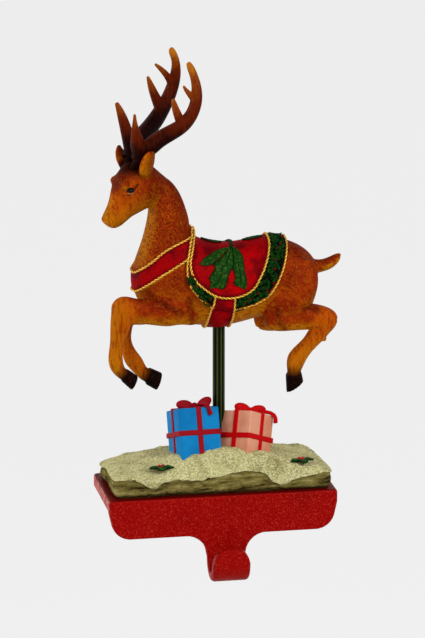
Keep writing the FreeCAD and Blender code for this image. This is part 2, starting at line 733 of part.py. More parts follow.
def reindeer_shape():
    hide = limb(TRUNK, count=12)
    blanket_hide = limb(TRUNK, grow=size("blanket_proud"), count=12)
    rope_hide = limb(TRUNK, grow=size("rope_proud"), count=12)

    cloth = joined([slice_of(BORDER), plank(GIRTH), plank(BREAST_STRAP)])
    ropes = [
        slice_of(BORDER).cut(slice_of(pulled_in(BORDER, size("rope_wide")))),
        slice_of(BLANKET).cut(slice_of(pulled_in(BLANKET, size("rope_wide")))),
    ]
    relief = [blanket_hide.common(cloth)] + [rope_hide.common(rope) for rope in ropes]

    near_hind = [limb(THIGH, -THIGH_SIDE)]
    near_hind += [limb(stations, -HIND_SIDE) for stations in (GASKIN, HIND_CANNON, HIND_HOOF)]
    far_thigh = limb(THIGH, THIGH_SIDE)
    far_thigh.translate(FAR_THIGH_SHIFT)
    far_shin = [limb(stations, HIND_SIDE) for stations in (HIND_CANNON, HIND_HOOF)]
    for piece in far_shin:
        piece.translate(FAR_HIND_SHIFT)
    far_hind = [far_thigh, limb(FAR_GASKIN, HIND_SIDE)] + far_shin
    spur_reach = size("spur_thick") / 2
    near_hind.append(Part.makeSphere(spur_reach, Vector(SPUR.x, -HIND_SIDE, SPUR.z)))
    far_hind.append(Part.makeSphere(spur_reach, Vector(SPUR.x, HIND_SIDE, SPUR.z) + FAR_HIND_SHIFT))
    fore = [limb(stations, -FORE_SIDE) for stations in (NEAR_FOREARM, NEAR_CANNON, NEAR_FORE_HOOF)]
    fore += [limb(stations, FORE_SIDE) for stations in (FAR_FOREARM, FAR_CANNON, FAR_FORE_HOOF)]

    head = [limb(HEAD, count=10), ear(NEAR_EAR), ear(FAR_EAR)]
    for side in (-1, 1):
        head.append(Part.makeSphere(size("eye_thick") / 2, Vector(EYE.x, EYE.y * side, EYE.z)))
        head.append(Part.makeSphere(size("brow_thick") / 2, Vector(BROW.x, BROW.y * side, BROW.z)))
    skull = joined(head)
    for side in (-1, 1):
        skull = skull.cut(antler_socket(side))
    skull = turned_with_head(skull)

    body = hide
    for group in (near_hind, far_hind, fore, [limb(TAIL)], relief, [skull]):
        body = body.fuse(group)
    bore = Part.makeCylinder(size("pole_thick") / 2 + size("pole_play"),
                             size("pole_bite") + size("pole_play") + BLOCK_REACH / 3,
                             Vector(POLE_STATION, 0, BELLY_LEVEL - BLOCK_REACH / 3))
    return body.cut(bore)


def deer_placement():
    shift = Vector(size("pole_x") - POLE_STATION, size("pole_y"), size("pole_bare_top") - BELLY_LEVEL)
    return Placement(shift, Rotation())


# Snow base: a rock slab under snow, with two presents in the snow, cast as one.
# Points are shares of the half width and half depth, going round from the front left corner.
PLAN = [
    (-0.985, -0.93), (-0.86, -0.99), (-0.66, -1.0), (-0.42, -0.965), (-0.16, -1.0), (0.12, -0.975),
    (0.4, -1.0), (0.66, -0.97), (0.88, -1.0), (0.985, -0.95), (1.0, -0.7), (0.99, -0.3), (0.965, 0.2),
    (0.935, 0.7), (0.9, 0.93), (0.78, 0.985), (0.5, 0.96), (0.2, 0.99), (-0.1, 0.965), (-0.42, 0.99),
    (-0.7, 0.96), (-0.9, 0.98), (-0.975, 0.9), (-0.99, 0.55), (-0.975, 0.1), (-0.995, -0.4),
]
# Where the snow ends on the rock's face: share of the half width, height above the plate
SNOW_EDGE = [
    (-1.06, 12.4), (-0.97, 12.2), (-0.88, 12.2), (-0.8, 10.6), (-0.72, 7.2), (-0.65, 5.9),
    (-0.58, 6.4), (-0.51, 8.6), (-0.44, 9.8), (-0.32, 10.2), (-0.16, 9.6), (0.0, 10.4), (0.12, 11.8),
    (0.22, 12.4), (0.34, 12.0), (0.43, 9.2), (0.48, 4.8), (0.53, 3.2), (0.6, 4.0), (0.67, 6.8),
    (0.77, 8.6), (0.88, 9.8), (0.96, 11.2), (1.06, 11.6),
]


def plate_level():
    return size("pad_thick") + size("plate_thick")


def snow_height(across, along):
    """Height of the snow above the mantel: a mound under the presents, falling at the rim."""
    half_wide = size("base_wide") / 2
    half_deep = size("base_deep") / 2
    share_x = across / half_wide
    share_y = along / half_deep
    rise = size("base_back_rise") * (share_y + 1) / 2
    mound = size("mound_high") * math.exp(-(across / 40) ** 4 - ((along - 3) / 22) ** 4)
    corner = -4.0 * math.exp(-((share_x + 1) / 0.2) ** 2 - ((share_y - 0.85) / 0.55) ** 2)
    rim = -1.6 * (abs(share_x) ** 14 + abs(share_y) ** 12)
    lumps = 0.35 * math.sin(across * 0.31 + 0.8) * math.cos(along * 0.42) + 0.2 * math.sin(across * 0.62)
    return plate_level() + size("base_edge_high") + rise + mound + corner + rim + lumps


def plan_wire(level, grow=0.0):
    half_wide = size("base_wide") / 2 + grow
    half_deep = size("base_deep") / 2 + grow
    shift = size("base_shift")
    return smooth_loop([Vector(x * half_wide + shift, y * half_deep, level) for x, y in PLAN])


def under_snow():
    """Everything below the snow's surface, as one block."""
    wide = size("base_wide") * 1.12
    deep = size("base_deep") * 1.16
    columns = 21
    rows = 11
    grid = []
    for column in range(columns):
        across = wide * (column / (columns - 1) - 0.5)
        line = []
        for row in range(rows):
            along = deep * (row / (rows - 1) - 0.5)
            line.append(Vector(across + size("base_shift"), along, snow_height(across, along)))
        grid.append(line)
    surface = Part.BSplineSurface()
    surface.interpolate(grid)
    return surface.toShape().extrude(Vector(0, 0, -BLOCK_REACH))


def slab_shape():
    low = plate_level()
    inset = -size("rock_undercut")
    ground = under_snow()
    rings = [plan_wire(low, inset), plan_wire(low + size("rock_foot_high")), plan_wire(low + BLOCK_REACH)]
    rock = Part.makeLoft(rings, True, True).common(ground)
    edge = [(share * size("base_wide") / 2 + size("base_shift"), low + up) for share, up in SNOW_EDGE]
    curve = Part.BSplineCurve()
    curve.interpolate([Vector(x, -BLOCK_REACH, z) for x, z in edge])
    first = Vector(edge[0][0], -BLOCK_REACH, edge[0][1])
    last = Vector(edge[-1][0], -BLOCK_REACH, edge[-1][1])
    high_first = Vector(first.x, -BLOCK_REACH, low + BLOCK_REACH)
    high_last = Vector(last.x, -BLOCK_REACH, low + BLOCK_REACH)
    sides = [Part.makeLine(last, high_last), Part.makeLine(high_last, high_first),
             Part.makeLine(high_first, first)]
    above = Part.Face(Part.Wire([curve.toShape()] + sides)).extrude(Vector(0, 2 * BLOCK_REACH, 0))
    cap = Part.Face(plan_wire(low, size("snow_lip"))).extrude(Vector(0, 0, BLOCK_REACH))
    slab = rock.fuse(cap.common(ground).common(above))
    return max(slab.Solids, key=lambda solid: solid.Volume)


class Present:
    """One wrapped present: where the middle of its lid is, and how it leans in the snow."""

    def __init__(self, name, lid, yaw, lean, roll, loops):
        self.name = name
        self.wide = size(f"{name}_wide")
        self.deep = size(f"{name}_deep")
        self.high = size(f"{name}_high")
        self.lid = lid
        self.loops = loops
        self.turn = (Rotation(Vector(0, 1, 0), roll) * Rotation(Vector(1, 0, 0), lean)
                     * Rotation(Vector(0, 0, 1), yaw))

    def bar(self, wide, deep, low, high):
        return Part.makeBox(wide, deep, high - low, Vector(-wide / 2, -deep / 2, low))

    def loop(self, middle, angle):
        """An oval loop of ribbon, standing on the lid, cast solid with a dish in each side."""
        thick = size("bow_ribbon_thick")
        reach = size("bow_loop_long") / 2
        rise = size("bow_loop_high") / 2
        half_wide = size("ribbon_wide") * 0.7
        solids = []
        for inward, half in ((0, half_wide), (thick, half_wide + 0.1)):
            oval = Part.Ellipse(Vector(0, 0, 0), reach - inward, rise - inward)
            disc = Part.Face(Part.Wire(oval.toShape())).extrude(Vector(0, 0, half))
            disc.translate(Vector(0, 0, size("bow_fill") * half_wide if inward else 0))
            solids.append(disc)
        dished = solids[0].cut(solids[1])
        band = dished.fuse(dished.mirror(Vector(0, 0, 0), Vector(0, 0, 1)))
        band.rotate(Vector(0, 0, 0), Vector(1, 0, 0), 90)
        band.rotate(Vector(0, 0, 0), Vector(0, 1, 0), -angle)
        band.translate(middle)
        return band

    def shape(self):
        proud = size("ribbon_proud")
        strip = size("ribbon_wide")
        middle = -self.high * 0.43
        solids = [
            self.bar(self.wide, self.deep, -self.high, 0),
            self.bar(strip, self.deep + 2 * proud, -self.high, proud),
            self.bar(self.wide + 2 * proud, strip, -self.high, proud),
            self.bar(self.wide + 2 * proud, self.deep + 2 * proud, middle - strip / 2, middle + strip / 2),
            Part.makeSphere(strip * 0.75, Vector(0, self.loops[0][1], strip * 0.45)),
        ]
        solids += [self.loop(Vector(x, y, z), angle) for x, y, z, angle in self.loops]
        whole = joined(solids)
        whole.Placement = Placement(self.lid, self.turn)
        return whole


def make_presents():
    loop_rise = size("bow_loop_high") / 2
    half_wide = size("base_wide") / 2
    blue = Present("blue", Vector(-0.195 * half_wide, 4.0, 50.6), 8.0, -19.0, -1.0,
                   [(-5.2, -4.0, loop_rise - 0.3, 8), (5.4, -4.0, loop_rise + 0.2, -24)])
    pink = Present("pink", Vector(0.323 * half_wide, 3.5, 46.4), 41.0, -21.0, 10.0,
                   [(-5.0, -3.0, loop_rise - 0.2, 10), (5.0, -3.0, loop_rise - 0.2, -12)])
    return [blue.shape(), pink.shape()]


def holly(across, along, heading):
    """Three leaves and two berries on the snow, moulded with it."""
    level = snow_height(across - size("base_shift"), along)
    leaf = [(0.4, 0), (1.8, 1.1), (2.6, 0.8), (3.8, 1.5), (4.8, 0.8), (6.4, 0), (4.8, -0.8),
            (3.8, -1.5), (2.6, -0.8), (1.8, -1.1)]
    solids = []
    for spread in (-165, -90, -15):
        corners = [Vector(x, y, -1.2) for x, y in leaf]
        blade = Part.Face(Part.makePolygon(corners + corners[:1])).extrude(Vector(0, 0, 2.0))
        blade.rotate(Vector(0, 0, 0), Vector(0, 0, 1), spread + heading)
        solids.append(blade)
    for shift in (-1.0, 1.2):
        solids.append(Part.makeCone(1.3, 0.6, 2.8, Vector(shift, 0.3, -1.2)))
    whole = joined(solids)
    whole.translate(Vector(across, along, level))
    return whole


def base_shape():
    slab = slab_shape().fuse(make_presents())
    half_wide = size("base_wide") / 2
    slab = slab.fuse([holly(-0.54 * half_wide, -15.0, 0), holly(0.768 * half_wide, -10.0, 10)])
    bore = Part.makeCylinder(size("pole_thick") / 2 + size("pole_play"), BLOCK_REACH,
                             Vector(size("pole_x"), size("pole_y"), size("pole_foot")))
    slab = slab.cut(bore)
    screw_reach = size("base_wide") / 2 - size("screw_inset")
    for side in (-1, 1):
        hole = Part.makeCylinder(size("screw_thick") / 2, size("screw_bite"),
                                 Vector(side * screw_reach, 0, plate_level()))
        slab = slab.cut(hole)
    return slab


bracket = make_bracket()
pads = make_pads()
screws = make_screws()
pole = make_pole()
base = feature("snow_base", base_shape())
deer = feature("reindeer", reindeer_shape(), deer_placement())
antlers = []
for word, side in (("near_antler", -1), ("far_antler", 1)):
    antlers.append(feature(word, turned_with_head(antler(side)), deer_placement()))
doc.recompute()

for item in doc.Objects:
    if "Invalid" in item.State or "Error" in item.State:
        raise RuntimeError(f"{item.Name} did not rebuild: {item.State}")
subparts = [bracket] + pads + [screws, base, pole, deer] + antlers
for item in subparts:
    if item.Shape.isNull() or not item.Shape.isValid():
        raise RuntimeError(f"{item.Label} has no valid shape")
for item in [bracket, base, pole, deer] + antlers:
    if len(item.Shape.Solids) != 1:
        raise RuntimeError(f"{item.Label} is {len(item.Shape.Solids)} solids and not one")
for item in subparts:
    item.Shape.exportStep(f"parts/{item.Label}.step")
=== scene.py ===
"""The look of a mantel stocking holder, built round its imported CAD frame.

Lengths are in metres in the frame's axes: +Z up, -Y to the room, -X the way the reindeer faces.
Shapes that follow the reindeer are written in millimetres in its own frame, whose middle plane
is y = 0, and are moved to the frame at the end.
"""

import logging
import math
from dataclasses import dataclass
from enum import Enum
from functools import lru_cache
from typing import Iterable, Optional, Sequence, Union

import bmesh
import bpy
import numpy as np
from mathutils import Matrix, Vector
from mathutils.bvhtree import BVHTree

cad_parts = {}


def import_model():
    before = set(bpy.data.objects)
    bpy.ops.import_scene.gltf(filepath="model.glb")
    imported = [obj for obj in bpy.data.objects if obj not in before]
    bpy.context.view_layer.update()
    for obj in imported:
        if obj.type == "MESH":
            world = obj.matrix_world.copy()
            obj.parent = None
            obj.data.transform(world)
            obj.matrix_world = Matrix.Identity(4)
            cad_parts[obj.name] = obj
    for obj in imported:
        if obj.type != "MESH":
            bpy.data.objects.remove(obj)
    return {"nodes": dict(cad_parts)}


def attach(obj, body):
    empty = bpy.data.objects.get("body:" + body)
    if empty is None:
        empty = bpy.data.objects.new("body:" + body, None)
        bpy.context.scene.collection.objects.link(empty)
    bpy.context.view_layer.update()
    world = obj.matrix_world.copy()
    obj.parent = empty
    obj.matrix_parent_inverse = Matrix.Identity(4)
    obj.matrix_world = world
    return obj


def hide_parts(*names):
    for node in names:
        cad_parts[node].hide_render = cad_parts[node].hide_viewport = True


log = logging.getLogger("scene")
MM = 0.001
ROOT = "root"
Points = np.ndarray
Tone = Union[float, Points]
Socket = bpy.types.NodeSocket


# Paint
def paint(red: int, green: int, blue: int) -> tuple[float, float, float, float]:
    """A paint colour given as screen values, as Blender's linear colour.

    Args:
        red, green, blue: screen values from 0 to 255.

    Returns:
        The linear colour, with an opacity of one.
    """
    def linear(value: int) -> float:
        """One linear value: a straight line near black, else the shifted share to the power 2.4."""
        share = value / 255
        return share / 12.92 if share <= 0.04045 else ((share + 0.055) / 1.055) ** 2.4
    return linear(red), linear(green), linear(blue), 1.0


class Paint(Enum):
    """The paints on the holder."""

    COAT = paint(156, 51, 3)
    COAT_RED = paint(122, 22, 2)
    OCHRE = paint(186, 114, 6)
    BRIGHT = paint(180, 76, 3)
    TOPLINE = paint(76, 6, 2)
    UMBER = paint(26, 3, 1)
    HOOF = paint(9, 4, 2)
    ANTLER_RED = paint(92, 26, 4)
    ANTLER_BROWN = paint(134, 58, 8)
    AMBER = paint(178, 104, 20)
    EYE_WHITE = paint(226, 196, 150)
    SADDLE = paint(178, 1, 4)
    SADDLE_DEEP = paint(92, 0, 6)
    BORDER = paint(5, 10, 4)
    LEAF = paint(18, 62, 12)
    LEAF_LIGHT = paint(60, 102, 26)
    LEAF_DARK = paint(3, 20, 4)
    BERRY = paint(96, 4, 12)
    GOLD = paint(240, 184, 72)
    GOLD_DEEP = paint(96, 44, 4)
    SNOW = paint(196, 190, 132)
    SNOW_LIGHT = paint(226, 222, 180)
    SNOW_DEEP = paint(134, 126, 72)
    ROCK = paint(122, 110, 56)
    ROCK_LIGHT = paint(156, 146, 92)
    ROCK_DEEP = paint(40, 28, 8)
    BLUE = paint(16, 128, 190)
    BLUE_DEEP = paint(10, 112, 174)
    PINK = paint(226, 158, 128)
    PINK_DEEP = paint(212, 136, 104)
    RIBBON = paint(196, 8, 14)
    RIBBON_DARK = paint(150, 14, 26)
    RIBBON_DEEP = paint(104, 10, 20)
    IRON_RED = paint(150, 4, 4)
    IRON_RED_DEEP = paint(110, 2, 3)
    # Painted glints on the enamel's pebbles
    IRON_GLINT = paint(206, 66, 40)
    # Painted highlight on the enamel's side edges
    IRON_HIGHLIGHT = paint(206, 140, 124)
    IRON_SHADE = paint(60, 2, 2)
    POLE = paint(8, 9, 2)
    # Painted highlight on the pole
    POLE_HIGHLIGHT = paint(66, 78, 34)
    RUBBER = paint(24, 24, 24)
    STEEL = paint(150, 150, 156)
    BACKGROUND = paint(238, 238, 238)


@dataclass(frozen=True)
class Noise:
    """A cloudy pattern.

    Attributes:
        scale: how many clouds there are in a metre.
        detail: how many finer layers it has.
        rough: how strong the finer layers are.
        stretch: the factor on the scale along each axis.
        lean: its turn about the depth axis, in degrees.
    """

    scale: float = 1.0
    detail: float = 3.0
    rough: float = 0.55
    stretch: tuple = (1.0, 1.0, 1.0)
    lean: float = 0.0


@dataclass(frozen=True)
class Dab:
    """Paint laid where a pattern rises, or where it falls if low is above high.

    Attributes:
        paint: the paint.
        low, high: the pattern's values where the paint starts and where it is full.
        share: how much it covers where it is full.
    """

    paint: Paint
    low: float
    high: float
    share: float = 1.0


Feed = Union[Socket, Paint, Sequence[float], float, None]


class Tree:
    """A node tree, built node by node."""

    def __init__(self, tree: bpy.types.NodeTree) -> None:
        """Takes a tree and empties it."""
        self.tree = tree
        self.tree.nodes.clear()

    def add(self, kind: str, **settings: str) -> bpy.types.Node:
        """A new node with its settings made.

        Args:
            kind: Blender's name for the type of node.
            settings: the node's own attributes, by name.

        Returns:
            The node.
        """
        node = self.tree.nodes.new(kind)
        for name, value in settings.items():
            setattr(node, name, value)
        return node

    def join(self, source: Socket, target: Socket) -> None:
        """Links an output to an input."""
        self.tree.links.new(source, target)

    def feed(self, target: Socket, value: Feed) -> None:
        """Links a socket to an input, or sets the input to a plain value. None leaves it as it is.

        Args:
            target: the input.
            value: a socket, a paint, a plain value or None.
        """
        value = value.value if isinstance(value, Paint) else value
        if isinstance(value, Socket):
            self.join(value, target)
        elif value is not None:
            target.default_value = value

    def math(self, operation: str, first: Feed, second: Feed = None) -> Socket:
        """A sum on one or two values.

        Args:
            operation: Blender's name for the sum.
            first, second: the values.

        Returns:
            The result.
        """
        node = self.add("ShaderNodeMath", operation=operation)
        self.feed(node.inputs[0], first)
        self.feed(node.inputs[1], second)
        return node.outputs[0]


class Graph(Tree):
    """A material's node tree."""

    def __init__(self, name: str) -> None:
        """Makes a material whose shader is joined to its output.

        Args:
            name: the material's name.
        """
        self.material = bpy.data.materials.new(name)
        self.material.use_nodes = True
        super().__init__(self.material.node_tree)
        self.shader = self.add("ShaderNodeBsdfPrincipled")
        self.output = self.add("ShaderNodeOutputMaterial")
        self.join(self.shader.outputs["BSDF"], self.output.inputs["Surface"])

    def noise(self, pattern: Noise) -> Socket:
        """A cloudy pattern on object coordinates, which are turned and then stretched.

        Args:
            pattern: its scale, detail and direction.

        Returns:
            The pattern's value, round a half.
        """
        vector = self.add("ShaderNodeTexCoord").outputs["Object"]
        turn = (0.0, math.radians(pattern.lean), 0.0)
        for name, value in (("Rotation", turn), ("Scale", pattern.stretch)):
            mapping = self.add("ShaderNodeMapping", vector_type="POINT")
            mapping.inputs[name].default_value = value
            self.join(vector, mapping.inputs["Vector"])
            vector = mapping.outputs["Vector"]
        node = self.add("ShaderNodeTexNoise")
        for name, value in (("Vector", vector), ("Scale", pattern.scale), ("Detail", pattern.detail),
                            ("Roughness", pattern.rough)):
            self.feed(node.inputs[name], value)
        return node.outputs["Fac"]

    def attribute(self, name: str) -> Socket:
        """A weight that is stored on the mesh's points."""
        return self.add("ShaderNodeAttribute", attribute_name=name).outputs["Fac"]

    def rise(self, value: Socket, low: float, high: float) -> Socket:
        """A smooth step from 0 to 1 as the value goes from low to high.

        Args:
            value: the value.
            low, high: where the step starts and ends. It falls if low is above high.

        Returns:
            The step.
        """
        node = self.add("ShaderNodeMapRange", interpolation_type="SMOOTHSTEP")
        for name, number in (("Value", value), ("From Min", low), ("From Max", high)):
            self.feed(node.inputs[name], number)
        return node.outputs["Result"]

    def mix(self, share: Feed, first: Feed, second: Feed) -> Socket:
        """Two colours mixed.

        Args:
            share: how much of the second there is.
            first, second: the colours.

        Returns:
            The mixed colour.
        """
        node = self.add("ShaderNodeMix", data_type="RGBA")
        for index, value in ((0, share), (6, first), (7, second)):
            self.feed(node.inputs[index], value)
        return node.outputs[2]

    def dab(self, colour: Feed, pattern: Socket, dab: Dab) -> Socket:
        """A colour with paint laid over it where a pattern rises.

        Args:
            colour: the colour below.
            pattern: the pattern's value.
            dab: the paint and where it lies.

        Returns:
            The painted colour.
        """
        where = self.rise(pattern, dab.low, dab.high)
        if dab.share < 1:
            where = self.math("MULTIPLY", where, dab.share)
        return self.mix(where, colour, dab.paint)

    def bump(self, height: Socket, distance: float, strength: float,
             normal: Optional[Socket] = None) -> Socket:
        """Relief that only the light sees.

        Args:
            height: the pattern that is raised.
            distance, strength: its depth in metres, and how much of it shows.
            normal: relief that lies below it.

        Returns:
            The surface's direction.
        """
        node = self.add("ShaderNodeBump")
        for name, value in (("Strength", strength), ("Distance", distance), ("Height", height),
                            ("Normal", normal)):
            self.feed(node.inputs[name], value)
        return node.outputs["Normal"]

    def finish(self, colour: Feed, rough: float, gloss: float, normal: Optional[Socket] = None,
               metal: float = 0.0) -> bpy.types.Material:
        """Sets the shader's inputs.

        Args:
            colour, normal: the painted colour, and the relief.
            rough, gloss, metal: how matt it is, how much it reflects, and how metallic it is.

        Returns:
            The material.
        """
        for name, value in (("Base Color", colour), ("Roughness", rough), ("Metallic", metal),
                            ("Specular IOR Level", gloss), ("Normal", normal)):
            self.feed(self.shader.inputs[name], value)
        return self.material


# Finishes
@dataclass(frozen=True)
class CoatFinish:
    """Hand-painted hide: a warm coat with darker and lighter strokes, and the saddle painted on it.

    Attributes:
        body, neck, leg: brush strokes, each along its part of the animal.
        weights: weights on the hide, with the paint that each carries.
        hoof_band, hoof_range: the band over each hoof and the hoof's black, in millimetres.
        stroke_depth, grain_depth: relief, in metres.
    """

    patches: Noise = Noise(60.0, 5.0, 0.6)
    red: Dab = Dab(Paint.COAT_RED, 0.36, 0.66)
    body: Noise = Noise(1.0, 4.0, 0.65, (300.0, 500.0, 620.0), -24.0)
    neck: Noise = Noise(1.0, 4.0, 0.6, (900.0, 700.0, 260.0), 18.0)
    leg: Noise = Noise(1.0, 4.0, 0.6, (800.0, 600.0, 110.0))
    dark_stroke: Dab = Dab(Paint.COAT_RED, 0.51, 0.62, 0.62)
    light_stroke: Dab = Dab(Paint.OCHRE, 0.46, 0.36, 0.26)
    specks: Noise = Noise(1000.0, 2.0, 0.7)
    speck_range: tuple = (0.5, 0.6)
    sparks: Noise = Noise(1200.0, 2.0, 0.6)
    spark: Dab = Dab(Paint.OCHRE, 0.54, 0.66, 0.2)
    horn_spark: Dab = Dab(Paint.TOPLINE, 0.56, 0.7)
    weights: tuple = (("bright", Paint.BRIGHT), ("ochre", Paint.OCHRE), ("ridge", Paint.TOPLINE))
    hoof_band: Dab = Dab(Paint.UMBER, -8.0, 1.0)
    hoof_range: tuple = (-0.6, 0.4)
    wear_and_highlight: tuple = (Noise(110.0, 5.0), Dab(Paint.SADDLE_DEEP, 0.42, 0.72))
    mottle: tuple = (Noise(900.0, 4.0, 0.7), Dab(Paint.SADDLE_DEEP, 0.5, 0.75, 0.5))
    weave: tuple = (Noise(1.0, 2.0, 0.6, (520.0, 520.0, 900.0), 35.0), Dab(Paint.BERRY, 0.5, 0.66, 0.55))
    stroke_depth: float = 0.0005
    grain_depth: float = 0.00025
    relief: float = 0.7
    rough: float = 0.5
    gloss: float = 0.02

    def make(self) -> bpy.types.Material:
        """Lays the coat, its tones and strokes, the hooves and then the cloth.

        Returns:
            The material.
        """
        graph = Graph("painted_hide")
        strokes = graph.mix(graph.attribute("neck"), graph.noise(self.body), graph.noise(self.neck))
        strokes = graph.mix(graph.attribute("leg"), strokes, graph.noise(self.leg))
        sparks = graph.noise(self.sparks)

        colour = graph.dab(Paint.COAT, graph.noise(self.patches), self.red)
        for name, tone in self.weights:
            colour = graph.mix(graph.attribute(name), colour, tone)
        for stroke in (self.dark_stroke, self.light_stroke):
            colour = graph.dab(colour, strokes, stroke)
        speck = graph.math("MULTIPLY", graph.rise(graph.noise(self.specks), *self.speck_range),
                           graph.attribute("specks"))
        colour = graph.mix(speck, colour, Paint.TOPLINE)
        colour = graph.dab(colour, sparks, self.spark)
        colour = graph.mix(graph.attribute("umber"), colour, Paint.UMBER)
        hoof = graph.attribute("hoof")
        colour = graph.dab(colour, hoof, self.hoof_band)
        horn = graph.dab(Paint.HOOF, sparks, self.horn_spark)
        colour = graph.mix(graph.rise(hoof, *self.hoof_range), colour, horn)
        colour = graph.mix(graph.attribute("eye_white"), colour, Paint.EYE_WHITE)

        cloth = Paint.SADDLE
        for pattern, dab in (self.wear_and_highlight, self.mottle, self.weave):
            cloth = graph.dab(cloth, graph.noise(pattern), dab)
        cloth = graph.mix(graph.attribute("cloth_shade"), cloth, Paint.SADDLE_DEEP)
        for name, tone in (("border", Paint.BORDER), ("strap", cloth), ("saddle", cloth)):
            colour = graph.mix(graph.attribute(name), colour, tone)

        normal = graph.bump(strokes, self.stroke_depth, self.relief)
        normal = graph.bump(graph.noise(self.mottle[0]), self.grain_depth, self.relief, normal)
        return graph.finish(colour, self.rough, self.gloss, normal)


@dataclass(frozen=True)
class PaintFinish:
    """Hand paint in two tones that meet in soft patches, with a fine grain.

    Attributes:
        patch, grain: how many there are in a metre.
        depth: the grain's depth in metres.
        low, high: the patches' values where the deep tone starts and is full.
        shade, shade_paint: a weight on the piece, and its paint.
    """

    name: str
    light: Paint
    deep: Paint
    patch: float
    grain: float
    depth: float
    rough: float
    metal: float = 0.0
    gloss: float = 0.025
    low: float = 0.4
    high: float = 0.65
    shade: Optional[str] = None
    shade_paint: Optional[Paint] = None
    relief: float = 0.7

    def make(self) -> bpy.types.Material:
        """Lays the two tones, the shade and the grain.

        Returns:
            The material.
        """
        graph = Graph(self.name)
        patches = graph.noise(Noise(self.patch, 4.0))
        colour = graph.dab(self.light, patches, Dab(self.deep, self.low, self.high))
        if self.shade:
            colour = graph.mix(graph.attribute(self.shade), colour, self.shade_paint or self.deep)
        normal = graph.bump(graph.noise(Noise(self.grain)), self.depth, self.relief)
        return graph.finish(colour, self.rough, self.gloss, normal, self.metal)


@dataclass(frozen=True)
class AntlerFinish:
    """Dark at the root and amber at the tips, with long furrows.

    Attributes:
        furrow_share: how far the furrows shift the tones.
        tones: the paints from the root up.
        depth: the furrows' depth in metres.
    """

    furrows: Noise = Noise(1.0, 4.0, 0.6, (700.0, 700.0, 160.0))
    furrow_share: float = 0.4
    tones: tuple = (Dab(Paint.ANTLER_RED, 0.25, 0.6), Dab(Paint.ANTLER_BROWN, 0.6, 0.84),
                    Dab(Paint.AMBER, 0.84, 1.1))
    mottle: Noise = Noise(900.0, 4.0, 0.7)
    dark: Dab = Dab(Paint.UMBER, 0.5, 0.75, 0.5)
    depth: float = 0.0005
    relief: float = 0.9
    rough: float = 0.4
    gloss: float = 0.025

    def make(self) -> bpy.types.Material:
        """Lays the tones from the root to the tips, and the flecks.

        Returns:
            The material.
        """
        graph = Graph("painted_antler")
        furrows = graph.noise(self.furrows)
        tip = graph.math("ADD", graph.attribute("tip"), graph.math("MULTIPLY", furrows, self.furrow_share))
        colour = Paint.UMBER
        for tone in self.tones:
            colour = graph.dab(colour, tip, tone)
        colour = graph.dab(colour, graph.noise(self.mottle), self.dark)
        return graph.finish(colour, self.rough, self.gloss, graph.bump(furrows, self.depth, self.relief))


@dataclass(frozen=True)
class SnowRockFinish:
    """Gritty snow over brushed rock, with a painted shadow along the rock's foot; the piece's own attributes
    say where each is.

    Attributes:
        snow_dabs, rock_dabs: patterns and paints over the snow and the rock, in order.
        grit_relief, fine_relief: depth in metres, and how much of it shows.
    """

    soft: Noise = Noise(110.0, 5.0)
    grain: Noise = Noise(1000.0, 2.0, 0.7)
    speck: Noise = Noise(2200.0, 2.0, 0.7)
    strokes: Noise = Noise(1.0, 5.0, 0.65, (70.0, 70.0, 380.0), 4.0)
    fine: Noise = Noise(700.0, 4.0, 0.7)
    snow_dabs: tuple = (("soft", Dab(Paint.SNOW_DEEP, 0.45, 0.75)),
                        ("grain", Dab(Paint.SNOW_DEEP, 0.52, 0.62, 0.8)),
                        ("grain", Dab(Paint.SNOW_LIGHT, 0.46, 0.36, 0.85)),
                        ("speck", Dab(Paint.SNOW_LIGHT, 0.56, 0.66, 0.7)))
    rock_dabs: tuple = (("strokes", Dab(Paint.ROCK, 0.34, 0.56)),
                        ("strokes", Dab(Paint.ROCK_LIGHT, 0.54, 0.68)),
                        ("fine", Dab(Paint.ROCK_DEEP, 0.52, 0.72, 0.6)))
    grit_relief: tuple = (0.0005, 0.9)
    fine_relief: tuple = (0.0002, 0.6)
    rough: float = 0.7
    gloss: float = 0.03

    def make(self) -> bpy.types.Material:
        """Lays the snow and the rock, darkens the rock's foot with a painted shadow, and mixes them by the
        piece's weight.

        Returns:
            The material.
        """
        graph = Graph("snow_and_rock")
        patterns = {name: graph.noise(getattr(self, name))
                    for name in ("soft", "grain", "speck", "strokes", "fine")}
        snow, rock = Paint.SNOW, Paint.ROCK_DEEP
        for name, dab in self.snow_dabs:
            snow = graph.dab(snow, patterns[name], dab)
        for name, dab in self.rock_dabs:
            rock = graph.dab(rock, patterns[name], dab)
        # Painted shadow along the rock's foot, where it stands back over the plate
        rock = graph.mix(graph.attribute("hollow"), rock, Paint.ROCK_DEEP)
        colour = graph.mix(graph.attribute("snow"), rock, snow)
        normal = graph.bump(patterns["grain"], *self.grit_relief)
        normal = graph.bump(patterns["fine"], *self.fine_relief, normal)
        return graph.finish(colour, self.rough, self.gloss, normal)


